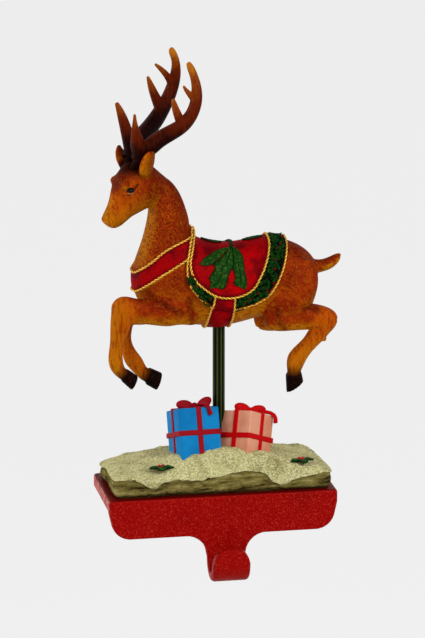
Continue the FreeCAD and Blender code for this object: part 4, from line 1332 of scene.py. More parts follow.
@dataclass
class Reindeer:
    """The cast reindeer: hide, saddle ropes, garland, holly and eyes.

    Attributes:
        voxel, rounds, most: the hide's spacing in metres, smoothing rounds and most triangles.
        rope_pitch, rope_sides: the pitch of a rope's beads, and its corners.
        brow, brow_reach, brow_rounds: the softening on the brow.
        off_hoof: the hooves' measure away from them.
        hoof_reach, hoof_side: how far a hoof's points are from its middle, in all and sideways.
        garland_count, berry_every: the garland's spots, and how often one is a berry.
        over_ridge: a height above the back.
        surface: the finished hide.
    """

    node: bpy.types.Object
    voxel: float = 0.62 * MM
    rounds: int = 3
    most: int = 190000
    rope_thick: float = 1.25
    rope_pitch: float = 2.4
    rope_sides: int = 10
    brow: tuple = (-58.0, 0.0, 190.5)
    brow_reach: float = 8.5
    brow_rounds: int = 160
    off_hoof: float = -40.0
    hoof_reach: float = 20.0
    hoof_side: float = 9.0
    garland_count: int = 760
    berry_every: int = 17
    leaf_rows: int = 26
    leaf_thick: float = 0.5 * MM
    over_ridge: float = 175.0
    stem_radius: float = 0.55
    eye_size: tuple = (2.3, 2.1, 1.6)
    surface: Optional[Surface] = None

    def skin(self) -> None:
        """The hide, with its painted regions stored as weights on its points."""
        piece = skin_of(self.node, "reindeer_skin", self.voxel, self.rounds, self.most)
        mesh = piece.data
        brow = np.linalg.norm(head_places(read_points(mesh) / MM - DEER_SHIFT) - self.brow, axis=1)
        soften(mesh, smoothstep(self.brow_reach - brow, 0.0, 3.0), self.brow_rounds)
        points = read_points(mesh) / MM - DEER_SHIFT
        normals = read_normals(mesh)
        flat = points[:, [0, 2]]
        saddle, border, girth = (distance_to_area(flat, area) for area in (BLANKET, BORDER, GIRTH))
        strap = np.where(points[:, 0] > -49.5, distance_to_area(flat, BREAST_STRAP), FAR_OFF)
        for name, far in (("saddle", saddle), ("border", border), ("strap", np.minimum(girth, strap))):
            put_attribute(mesh, name, smoothstep(-far, 0.0, 0.5))
        rim = np.min(np.abs([saddle, border, girth, strap]), axis=0)
        shade = 0.75 * (1 - smoothstep(rim, 0.7, 2.6)) + 0.5 * smoothstep(normals[:, 2], 0.6, 1.0)
        shade += 0.35 * smoothstep(-girth, -0.5, 0.5) + 0.3 * (1 - smoothstep(points[:, 0], -8.0, 6.0))
        put_attribute(mesh, "cloth_shade", np.clip(shade, 0, 0.85))
        self.paint_hide(mesh, points, normals)
        own(piece, CoatFinish(), ["reindeer"])
        self.surface = Surface(piece, DEER_SHIFT)

    def legs_and_hooves(self, points: Points) -> tuple[Points, Points]:
        """Where the lower legs and the hooves are.

        A leg's weight rises as the distance to its line falls from 12 to 7. A hoof's measure is how
        far a point is past its top.

        Args:
            points: the hide's points.

        Returns:
            The legs' weight and the hooves' measure.
        """
        hoof = np.full(len(points), self.off_hoof)
        leg = np.zeros(len(points))
        for side, top, bottom in HOOVES:
            top, bottom = np.array([top[0], side, top[1]]), np.array([bottom[0], side, bottom[1]])
            near = np.linalg.norm(points - (top + bottom) / 2, axis=1) < self.hoof_reach
            near &= np.abs(points[:, 1] - side) < self.hoof_side
            hoof = np.maximum(hoof, np.where(near, (points - top) @ unit(bottom - top), self.off_hoof))
        for side, path in LEGS:
            line = np.array([(x, side, z) for x, z in path])
            leg = np.maximum(leg, smoothstep(-distance_to_line(points, line), -12.0, -7.0))
        hoof[leg < 0.05] = self.off_hoof
        return leg, hoof

    def face_lines(self, head: Points) -> Points:
        """Distance to the nearest stroke painted on the face, on either side.

        Args:
            head: the hide's points, with the head straight.

        Returns:
            The distances, 9 at most.
        """
        lines = np.full(len(head), FAR_OFF)
        for side in (1.0, -1.0):
            for further, *path in FACE_STROKES:
                lines = np.minimum(lines, distance_to_line(head, np.array(path) * [1.0, side, 1.0]) + further)
        return lines

    def crease_shade_and_tufts(self, points: Points) -> tuple[Points, Points]:
        """Where painted shade lies along the coat's crease lines, and where the rippled tufts are.

        A crease's painted shade rises as the distance to its line falls from 3.2 to 0.2. A tuft is crossed
        by chevrons: where height plus 0.7 of the way from its middle, over 2.3, is near a half.

        Args:
            points: the hide's points.

        Returns:
            The weights of the painted shade along the crease lines and of the tufts.
        """
        flat = points[:, [0, 2]]
        crease = np.full(len(points), FAR_OFF)
        for line in CREASE_SHADE_LINES:
            crease = np.minimum(crease, distance_to_line(flat, resampled(np.array(line), 1.0)))
        # Painted shade along the crease lines, on the flanks only
        dark = 0.75 * smoothstep(-crease, -3.2, -0.2) * (np.abs(points[:, 1]) > 6.0)
        tufts = np.zeros(len(points))
        for x, z, reach in FUR_PATCHES:
            off = flat - [x, z]
            inside = smoothstep(reach - np.linalg.norm(off, axis=1), 0.0, 2.5)
            ripple = ((off[:, 1] + 0.7 * np.abs(off[:, 0])) / 2.3) % 1.0
            tufts = np.maximum(tufts, 0.5 * inside * (1 - smoothstep(np.abs(ripple - 0.5), 0.1, 0.3)))
        return dark, tufts

    def paint_hide(self, mesh: bpy.types.Mesh, points: Points, normals: Points) -> None:
        """Weights for the hide's tones: dark topline and face, painted shade along the crease lines, bright
        legs, ochre belly, black hooves.

        Each region is a product of smooth steps in the point's place and the surface's direction.

        Args:
            mesh: the hide.
            points, normals: its points, and its direction at each.
        """
        head = head_places(points)
        ahead, aside, high_on_head = -head[:, 0], np.abs(head[:, 1]), head[:, 2]
        x, z = points[:, 0], points[:, 2]
        leg, hoof = self.legs_and_hooves(points)
        creases, tufts = self.crease_shade_and_tufts(points)
        neck = smoothstep(-x, 12.0, 22.0) * smoothstep(z, 132.0, 146.0)
        high = smoothstep(z, 118.0, 160.0) * (1 - neck) * (1 - leg)

        ears = smoothstep(aside, 7.5, 9.5) * smoothstep(high_on_head, 191.0, 194.0)
        ears *= smoothstep(ahead, 36.0, 40.0)
        inner_ear = ears * smoothstep(normals @ np.array([-0.18, -0.95, 0.25]), 0.88, 0.97)
        crown = smoothstep(high_on_head, 186.5, 194.0) * smoothstep(ahead, 38.0, 46.0)
        roots = smoothstep(high_on_head, 190.0, 196.0) * smoothstep(ahead, 38.0, 42.0) * (1 - ears)
        face = smoothstep(9.5 - np.linalg.norm((head - [-57.5, 0, 191.0]) * [0.8, 1.0, 0.75], axis=1), 0, 5)
        muzzle = smoothstep(ahead, 55.0, 62.0) * (1 - smoothstep(high_on_head, 176.0, 184.0))
        low_head = smoothstep(ahead, 52.0, 68.0) * (1 - smoothstep(high_on_head, 168.0, 178.0))
        on_head = smoothstep(ahead, 42.0, 50.0) * smoothstep(z, 160.0, 168.0)
        eye_off = np.column_stack([head[:, 0] - EYE[0], aside - EYE[1], high_on_head - EYE[2]])
        eye_white = smoothstep(2.9 - np.linalg.norm(eye_off, axis=1), 0.0, 0.4)
        eye_white *= smoothstep(-eye_off[:, 2], 0.6, 1.2)

        up = smoothstep(normals[:, 2], 0.25, 0.95) * (1 - leg)
        back_of_neck = smoothstep(normals[:, 0], -0.05, 0.75) * neck
        ridge = np.clip(0.75 * up + 0.8 * back_of_neck, 0, 1)
        ridge = np.clip(np.maximum(ridge, 0.9 * np.maximum(crown, 0.8 * face) * (1 - ears)), 0, 1)
        tail = smoothstep(x, 59.0, 65.0) * smoothstep(z, 126.0, 130.0)
        under = smoothstep(-normals[:, 2], -0.05, 0.65) * (1 - 0.6 * leg)
        under = np.maximum(under, tail * smoothstep(-normals[:, 2], -0.45, 0.15))
        throat = smoothstep(-normals[:, 0], 0.45, 0.95) * neck * (1 - smoothstep(z, 176, 184))
        shin = leg * (1 - smoothstep(z, 78.0, 104.0)) * np.where(x < 0, 0.25, 0.6)
        ochre = 0.9 * under + 0.85 * throat + 0.6 * inner_ear + 0.7 * low_head + shin
        umber = np.maximum(0.9 * roots, 0.9 * smoothstep(-self.face_lines(head), -0.9, -0.3))
        specks = (0.4 + 0.4 * neck + 0.25 * high - 0.2 * leg) * (1 - 0.75 * on_head) * (1 - 0.7 * ears)
        bright = leg * 0.9 + muzzle + ears * 0.45 + 0.1 * neck + 0.45 * on_head

        # ridge holds the dark topline and face, and the painted shade along the crease lines
        for name, weight in (
                ("hoof", hoof), ("leg", leg), ("neck", neck),
                ("ridge", np.maximum(np.maximum(0.8 * ridge, creases), 0.9 * face * (1 - ears))),
                ("specks", np.clip(specks, 0, 0.85)), ("ochre", np.clip(ochre, 0, 0.9)),
                ("umber", np.maximum(umber, tufts)), ("bright", np.clip(bright, 0, 0.9)),
                ("eye_white", 0.1 * eye_white)):
            put_attribute(mesh, name, weight)

    def over_the_back(self, outline: Points) -> Points:
        """A closed path on the hide whose side view is an outline that is open at the back's ridge.

        Args:
            outline: the side view's points, in x and z.

        Returns:
            The path's points, at even steps.
        """
        near = self.open_path(outline)
        far = mirrored(near[::-1])
        behind = self.surface.across(near[-1], far[0], (0, 0, -1), 14)
        ahead = self.surface.across(far[-1], near[0], (0, 0, -1), 14)
        return resampled(np.vstack([near, behind, far, ahead]), ROPE_STEP, closed=True)

    def open_path(self, outline: Points) -> Points:
        """A path on the near side of the hide, given in the side view.

        Args:
            outline: the side view's points, in x and z.

        Returns:
            The path's points on the hide.
        """
        outline = resampled(np.asarray(outline, float), 1.5)
        start = np.column_stack([outline[:, 0], np.full(len(outline), -60.0), outline[:, 1]])
        found = [self.surface.tree.ray_cast(Vector(point), Vector((0, 1, 0)))[0] for point in start]
        return np.array([np.array(hit) for hit in found if hit is not None])

    def rope(self, name: str, path: Points, closed: bool) -> None:
        """Two strands twisted together and laid on the hide.

        The section turns as it runs, which gives the strands' beads: the radius is half the
        thickness, times 0.62 plus 0.46 of the cosine's size.

        Args:
            name: the rope's name.
            path: its points on the hide.
            closed: whether it runs back to its start.
        """
        places, normals = self.surface.settle(path)
        soft = places.copy()
        for _ in range(2):
            inner = (np.roll(soft, 1, axis=0) + np.roll(soft, -1, axis=0)) / 2
            if not closed:
                inner[0], inner[-1] = soft[0], soft[-1]
            soft = (soft + inner) / 2
        centre = soft + normals * self.rope_thick * 0.3
        length = np.concatenate([[0], np.cumsum(np.linalg.norm(np.diff(centre, axis=0), axis=1))])
        turns = max(round(length[-1] / self.rope_pitch), 1)
        turn = length / length[-1] * turns * 2 * math.pi if closed else length / self.rope_pitch * 2 * math.pi
        angles = np.linspace(0, 2 * math.pi, self.rope_sides, endpoint=False)
        strand = np.abs(np.cos(angles[None, :] - turn[:, None] / 2))
        reach = self.rope_thick / 2 * (0.62 + 0.46 * strand)
        rows = tube_rows(centre, 1.0, self.rope_sides, normals, closed)
        rows = centre[:, None, :] + (rows - centre[:, None, :]) * reach[:, :, None]
        if closed:
            rows = np.concatenate([rows, rows[:1]])
            strand = np.concatenate([strand, strand[:1]])
        builder = Builder()
        # Painted shade in the grooves between the two strands
        groove = 1 - smoothstep(strand, 0.15, 0.7)
        builder.grid(rows + DEER_SHIFT, closed=True, capped=not closed, tone=groove)
        piece = builder.piece(name, "groove")
        if closed:
            merge(piece, 1e-5)
        own(piece, Coating.GOLD)

    def ropes(self) -> None:
        """The rope round the saddle, the rope round its garland, and those along the straps."""
        self.rope("saddle_rope", self.over_the_back(BLANKET[:SIDE_POINTS]), True)
        border = self.over_the_back(BORDER[:SIDE_POINTS])
        on_girth = distance_to_area(border[:, [0, 2]], GIRTH) < 0.3
        start = int(np.argmax(on_girth & ~np.roll(on_girth, -1)))
        border, on_girth = np.roll(border, -start, axis=0), np.roll(on_girth, -start)
        steps = np.flatnonzero(np.diff(on_girth.astype(int)))
        self.rope("rear_garland_rope", border[steps[0]:steps[1] + 2], False)
        self.rope("front_garland_rope", border[steps[2]:steps[3] + 2], False)
        for name, outline, direction in STRAP_ROPES:
            self.strap_rope(name, outline, direction)

    def strap_rope(self, name: str, outline: Sequence, direction: tuple) -> None:
        """A rope along a strap's edge: down the near side, across, and up the far side.

        Args:
            name: the rope's name.
            outline: its path on the near side, in the side view.
            direction: the way in which the part across lies on the hide.
        """
        near = self.open_path(outline)
        across = self.surface.across(near[-1], mirrored(near[-1]), direction, 16)
        path = np.vstack([near, across, mirrored(near[::-1])])
        self.rope(name, resampled(path, ROPE_STEP), False)

    def garland(self) -> None:
        """Small leaves and berries packed into the band between the saddle's two ropes.

        Each is at a random share between the outer rope and the nearest point of the inner one, at a
        random turn. A leaf's half width is 0.24 of the cosine along it to the power 0.8.
        """
        draw = np.random.default_rng(7)
        inner = self.over_the_back(BLANKET[:SIDE_POINTS])
        outer = self.over_the_back(BORDER[:SIDE_POINTS])
        nearest = np.linalg.norm(outer[:, None] - inner[None], axis=2).argmin(axis=1)
        count = self.garland_count
        picks = (np.arange(count) / count * len(outer) + draw.uniform(-3, 3, count)).astype(int) % len(outer)
        share = draw.uniform(0.12, 0.88, count)[:, None]
        spots = outer[picks] * (1 - share) + inner[nearest[picks]] * share
        wide = np.linalg.norm(outer[picks] - inner[nearest[picks]], axis=1)
        kept = (wide > 2.8) & (distance_to_area(spots[:, [0, 2]], GIRTH) > 0.8)
        spots, picks = spots[kept], picks[kept]
        count = len(spots)
        places, normals = self.surface.settle(spots)
        ahead = unit(np.roll(outer, -4, axis=0) - outer)[picks]
        side = unit(np.cross(normals, ahead))
        ahead = np.cross(side, normals)
        turn = draw.uniform(-1.3, 1.3, count)[:, None]
        along = ahead * np.cos(turn) + side * np.sin(turn)
        beside = np.cross(normals, along)
        long = draw.uniform(2.4, 3.6, count)
        leaves = Builder()
        rows, columns = 5, 5
        run = np.linspace(-0.5, 0.5, rows)[:, None]
        width = np.cos(run * math.pi) ** 0.8 * 0.24 + 0.015
        cross = np.linspace(-1, 1, columns)[None, :]
        height = 0.16 * (1 - np.abs(cross)) + 0.1 * np.cos(run * math.pi)
        for index in range(count):
            if index % self.berry_every == 4:
                continue
            flat = run[..., None] * along[index] + (width * cross)[..., None] * beside[index]
            sheet = long[index] * (flat + height[..., None] * normals[index])
            sheet = places[index] + normals[index] * 0.35 + sheet
            leaves.grid(sheet + DEER_SHIFT, tone=float(index % 3) / 3)
        piece = leaves.piece("garland_leaves", "tone")
        thicken(piece, 0.25 * MM)
        own(piece, Coating.GARLAND)
        berries = Builder()
        for index in range(4, count, self.berry_every):
            berries.add(*ball(places[index] + normals[index] * 0.8 + DEER_SHIFT, 0.8, 8, 6))
        own(berries.piece("garland_berries"), Coating.DARK_BERRY)

    def saddle_holly(self) -> None:
        """Three holly leaves in relief on each side of the saddle, two on its ridge, and a stem.

        A ridge leaf's half width is 0.4, plus 2.2 of the sine along it to the power 0.7, plus waves.
        """
        leaves = Builder()
        count = self.leaf_rows
        for edges in HOLLY_LEAVES:
            sides = [resampled(self.surface.trace(edge), 0.5) for edge in edges]
            first, second = (side[np.linspace(0, len(side) - 1, count).round().astype(int)] for side in sides)
            raised, tone = self.leaf(first, second)
            leaves.grid(raised + DEER_SHIFT, tone=tone)
            leaves.grid(mirrored(raised) + DEER_SHIFT, tone=tone)
        run = np.linspace(0, math.pi, count)
        reach = 0.4 + 2.2 * np.sin(run) ** 0.7 + 0.35 * np.cos(np.linspace(0, 8 * math.pi, count))
        for start, end in RIDGE_LEAVES:
            along, high = np.linspace(start, end, count), np.full(count, self.over_ridge)
            first, second = (self.surface.drop(np.column_stack([along, side * reach, high]), (0, 0, -1), 0.0)
                             for side in (-1, 1))
            raised, tone = self.leaf(first, second)
            leaves.grid(raised + DEER_SHIFT, tone=np.maximum(tone, 0.6))
        for side in (1.0, -1.0):
            stem = resampled(self.surface.trace(HOLLY_STEM), 0.5) * np.array([1.0, side, 1.0])
            places, normals = self.surface.settle(stem)
            rows = tube_rows(places + normals * 0.5, self.stem_radius, 8, normals)
            leaves.grid(rows + DEER_SHIFT, closed=True, capped=True, tone=0.85)
        piece = leaves.piece("saddle_holly", "tone")
        thicken(piece, self.leaf_thick)
        own(piece, Coating.LEAF)

    def leaf(self, first: Points, second: Points) -> tuple[Points, Points]:
        """A leaf in relief between two edges on the hide: its surface and its darkness.

        It is lifted by 0.8, less towards its edges and along the midrib, a bell in the share across.
        The side veins are a cosine to the power 8.

        Args:
            first, second: the edges' points, as many on each.

        Returns:
            The points by row and column, and the darkness of each.
        """
        count, across = len(first), 15
        share = np.linspace(0, 1, across)[None, :, None]
        sheet = first[:, None, :] * (1 - share) + second[:, None, :] * share
        places, normals = self.surface.settle(sheet.reshape(-1, 3))
        fold = np.abs(np.linspace(-1, 1, across))[None, :]
        run = np.linspace(0, 1, count)[:, None]
        vein = np.cos((run * 7 - fold * 1.1) * 2 * math.pi) ** 8
        groove = np.exp(-(fold / 0.1) ** 2)
        lift = 0.8 - 0.35 * fold ** 0.7 - 0.35 * groove - 0.1 * vein
        tone = np.clip(np.maximum(fold ** 4, np.maximum(0.9 * groove, 0.45 * vein)), 0, 1)
        raised = places + normals * np.broadcast_to(lift, (count, across)).reshape(-1, 1)
        return raised.reshape(count, across, 3), np.broadcast_to(tone, (count, across)).ravel()

    def eyes(self) -> None:
        """Glossy black eyes, each an ellipsoid set in its socket."""
        builder = Builder()
        for side in (-1, 1):
            centre = turned_head(np.array([[EYE[0] - 0.35, (EYE[1] + 0.75) * side, EYE[2] + 0.2]]))[0]
            builder.add(*ball(centre + DEER_SHIFT, np.array(self.eye_size), 24, 16))
        own(builder.piece("eyes"), Coating.EYE)


def merge(piece: bpy.types.Object, distance: float) -> None:
    """Joins points that lie together, and turns the faces outwards.

    Args:
        piece: the piece.
        distance: how near they are, in metres.
    """
    work = bmesh.new()
    work.from_mesh(piece.data)
    bmesh.ops.remove_doubles(work, verts=work.verts, dist=distance)
    bmesh.ops.recalc_face_normals(work, faces=work.faces)
    work.to_mesh(piece.data)
    work.free()


def thicken(piece: bpy.types.Object, thickness: float) -> None:
    """Gives a sheet a thickness, half on each side.

    Args:
        piece: the sheet.
        thickness: in metres.
    """
    modifier = piece.modifiers.new("thickness", "SOLIDIFY")
    modifier.thickness = thickness
    modifier.offset = 0.0


def ball(centre: Points, radius: Union[float, Points], columns: int, rows: int) -> tuple[Points, list]:
    """A sphere or ellipsoid with closed poles.

    Args:
        centre: its middle.
        radius: its radius, or its three half sizes.
        columns, rows: how many points round it and from pole to pole.

    Returns:
        Points and faces.
    """
    rise = np.linspace(0, math.pi, rows + 1)[1:-1, None]
    turn = np.linspace(0, 2 * math.pi, columns, endpoint=False)[None, :]
    rings = np.stack([np.sin(rise) * np.cos(turn), np.sin(rise) * np.sin(turn),
                      np.cos(rise) * np.ones_like(turn)], axis=-1).reshape(-1, 3)
    points = np.vstack([rings, [[0, 0, 1]], [[0, 0, -1]]]) * np.asarray(radius) + centre
    index = np.arange(columns)
    beside = (index + 1) % columns
    faces = []
    for row in range(rows - 2):
        low, high = row * columns, (row + 1) * columns
        faces += np.stack([low + index, high + index, high + beside, low + beside], axis=1).tolist()
    top, bottom, last = len(rings), len(rings) + 1, (rows - 2) * columns
    faces += np.stack([index, beside, np.full(columns, top)], axis=1).tolist()
    faces += np.stack([last + beside, last + index, np.full(columns, bottom)], axis=1).tolist()
    return points, faces


@dataclass
class Antlers:
    """The two antlers.

    Attributes:
        voxel, rounds, most: the skin's spacing in metres, smoothing rounds and most triangles.
        tip_reach, tip_gain: how far the tips' tone reaches, and how strong it is at each tip.
    """

    near: bpy.types.Object
    far: bpy.types.Object
    voxel: float = 0.36 * MM
    rounds: int = 2
    most: int = 90000
    tip_reach: float = 26.0
    tip_gain: tuple = (1.0, 0.78, 0.78, 0.72)

    def build(self) -> None:
        """The antlers' skins, whose tone falls in a straight line with the distance from each tip."""
        for node, ends in ((self.near, NEAR_TIPS), (self.far, FAR_TIPS)):
            piece = skin_of(node, node.name + "_skin", self.voxel, self.rounds, self.most)
            points = read_points(piece.data) / MM - DEER_SHIFT
            tips = turned_head(np.array(ends))
            reach = np.linalg.norm(points[:, None] - tips[None], axis=2)
            tip = (1 - np.clip(reach / self.tip_reach, 0, 1)) * self.tip_gain
            put_attribute(piece.data, "tip", tip.max(axis=1))
            own(piece, AntlerFinish(), [node.name])


@dataclass
class SnowBase:
    """The rock slab under snow.

    Attributes:
        shift: how far its middle is right of the plate's.
        foot: the level of its foot.
        columns: how many points there are round it.
        undercut, cut_high: how far the foot stands back, and up to what height.
        plan: its outline, as shares of half its size.
        snow_edge: the snow's lower edge: share of half the width, and height over the foot.
    """

    half_wide: float = 62.5
    half_deep: float = 25.5
    shift: float = 0.6
    foot: float = 8.0
    columns: int = 720
    undercut: float = 1.8
    cut_high: float = 2.2
    plan: tuple = (
        (-0.985, -0.93), (-0.86, -0.99), (-0.66, -1.0), (-0.42, -0.965), (-0.16, -1.0), (0.12, -0.975),
        (0.4, -1.0), (0.66, -0.97), (0.88, -1.0), (0.985, -0.95), (1.0, -0.7), (0.99, -0.3), (0.965, 0.2),
        (0.935, 0.7), (0.9, 0.93), (0.78, 0.985), (0.5, 0.96), (0.2, 0.99), (-0.1, 0.965), (-0.42, 0.99),
        (-0.7, 0.96), (-0.92, 0.98), (-1.0, 0.9), (-1.015, 0.55), (-0.995, 0.1), (-1.0, -0.4))
    snow_edge: tuple = (
        (-1.06, 11.4), (-1.0, 11.6), (-0.913, 12.1), (-0.836, 11.6), (-0.76, 9.6), (-0.7, 6.5),
        (-0.622, 5.8), (-0.546, 8.5), (-0.424, 10.1), (-0.301, 9.0), (-0.21, 8.9), (-0.148, 10.2),
        (-0.011, 10.3), (0.05, 12.0), (0.188, 12.6), (0.325, 12.0), (0.4, 9.9), (0.448, 5.9),
        (0.524, 3.3), (0.585, 4.1), (0.677, 7.2), (0.769, 8.3), (0.86, 8.9), (0.922, 10.5),
        (0.98, 9.4), (1.06, 8.6))

    def height(self, x: Points, y: Points) -> Points:
        """The snow's top: a tilted level, a mound under the presents, a hollow, soft edges and ripples.

        The mound is a bell in the fourth powers of the distance, the drift before the presents one
        in the fourth and the square, and the hollow one in the squares. The edges sink by high
        powers of the share of half the size, and the ripples are sines.

        Args:
            x, y: places from the slab's middle, in millimetres.

        Returns:
            The snow's height at each.
        """
        sx, sy = x / self.half_wide, y / self.half_deep
        mound = 6.0 * np.exp(-(x / 40) ** 4 - ((y - 3) / 22) ** 4)
        right = smoothstep(x, 8.0, 17.0)
        drift = 6.2 * np.exp(-((x - 6) / 34) ** 4 - ((y + 14.5 + 4.0 * right) / (9.5 - 3.5 * right)) ** 2)
        hollow = 2.6 * np.exp(-((sx + 1) / 0.2) ** 2 - ((sy - 0.85) / 0.55) ** 2)
        edge = np.where(sx < 0, 1.4, 2.4) * np.abs(sx) ** 14 + 0.7 * np.abs(sy) ** 12
        ripple = 0.35 * np.sin(x * 0.31 + 0.8) * np.cos(y * 0.42) + 0.2 * np.sin(x * 0.62)
        return self.foot + 13.3 - 0.3 * (sy + 1) + mound + drift - hollow - edge + ripple

    def slab(self) -> None:
        """One closed skin: foot, rock face, snow lip, snow face and snow top, row by row.

        The rock's face stands out from the foot by a root of its height. Its creases are bells where a
        noise is near zero, and its lumps are noise.
        """
        outline = resampled(np.array(self.plan) * [self.half_wide, self.half_deep], 0.25, closed=True)
        pick = np.linspace(0, len(outline), self.columns, endpoint=False).astype(int)
        outline = outline[pick]
        ahead = unit(np.roll(outline, -1, axis=0) - np.roll(outline, 1, axis=0))
        out = np.column_stack([ahead[:, 1], -ahead[:, 0]])
        edge = np.array(self.snow_edge)
        wave = self.foot + np.interp(outline[:, 0] / self.half_wide, edge[:, 0], edge[:, 1])
        wave += 0.5 * lumps(np.column_stack([outline, np.zeros(len(outline))]), 3.0, 4)
        rim = self.height(outline[:, 0], outline[:, 1])
        wave = np.minimum(wave, rim - 1.2)
        rows, snow = [], []

        def row(grow: Tone, level: Tone, white: float) -> None:
            """Adds a row round the slab.

            Args:
                grow: how far it is outside the outline.
                level: its height.
                white: how much of it is snow.
            """
            place = outline + out * np.broadcast_to(grow, len(outline))[:, None]
            rows.append(np.column_stack([place, np.broadcast_to(level, len(outline))]))
            snow.append(np.full(len(outline), white))

        for share in (0.0, 0.4, 0.8, 0.97):
            rows.append(np.column_stack([outline * share, np.full(len(outline), self.foot)]))
            snow.append(np.zeros(len(outline)))
        row(-self.undercut, self.foot, 0.0)
        for share in np.linspace(0.08, 1, 14):
            level = self.foot + (wave - self.foot) * share
            grow = self.undercut * (np.sqrt(np.clip((level - self.foot) / self.cut_high, 0, 1)) - 1)
            spots = np.column_stack([outline, level])
            crease = np.exp(-(lumps(spots * [1, 1, 1.4], 7.5, 9) / 0.16) ** 2)
            grow = grow + 0.1 - 1.0 * crease + 0.45 * lumps(spots, 3.2, 10)
            row(grow, level, 0.0)
        for grow, lift in ((0.35, -0.12), (0.7, 0.05), (0.8, 0.2)):
            row(grow, wave + lift, 1.0)
        shoulder = np.maximum(rim - 2.0, wave + 0.3)
        for share in np.linspace(0.15, 0.85, 8):
            level = wave + 0.25 + (shoulder - wave - 0.25) * share
            row(0.8 + 0.25 * lumps(np.column_stack([outline, level]), 3.5, 5), level, 1.0)
        for share, grow in ((0.0, 0.7), (0.4, 0.35), (0.75, -0.35), (0.93, -1.3)):
            row(grow, shoulder + (rim - shoulder) * share, 1.0)
        for share in np.linspace(0.95, 0.0, 34):
            place = outline * share
            rows.append(np.column_stack([place, self.height(place[:, 0], place[:, 1])]))
            snow.append(np.ones(len(outline)))
        rows = np.array(rows)
        snow = np.array(snow)
        flat = rows.reshape(-1, 3)
        grit = 0.22 * lumps(flat, 1.3, 1) + 0.3 * lumps(flat, 3.1, 2)
        lifted = rows.copy()
        lifted[..., 2] += (grit.reshape(snow.shape) * snow) * (rows[..., 2] > self.foot + 1)
        lifted[..., 0] += self.shift
        builder = Builder()
        builder.grid(lifted, closed=True, tone=snow.ravel())
        piece = builder.piece("snow_slab", "snow")
        low = flat[:, 2] - self.foot
        # Painted shadow on the rock's lowest 2.6 mm, over the undercut foot
        put_attribute(piece.data, "hollow", 0.9 * (1 - smoothstep(low, 0.6, 2.6)))
        merge(piece, 1e-6)
        own(piece, SnowRockFinish(), ["snow_base"])


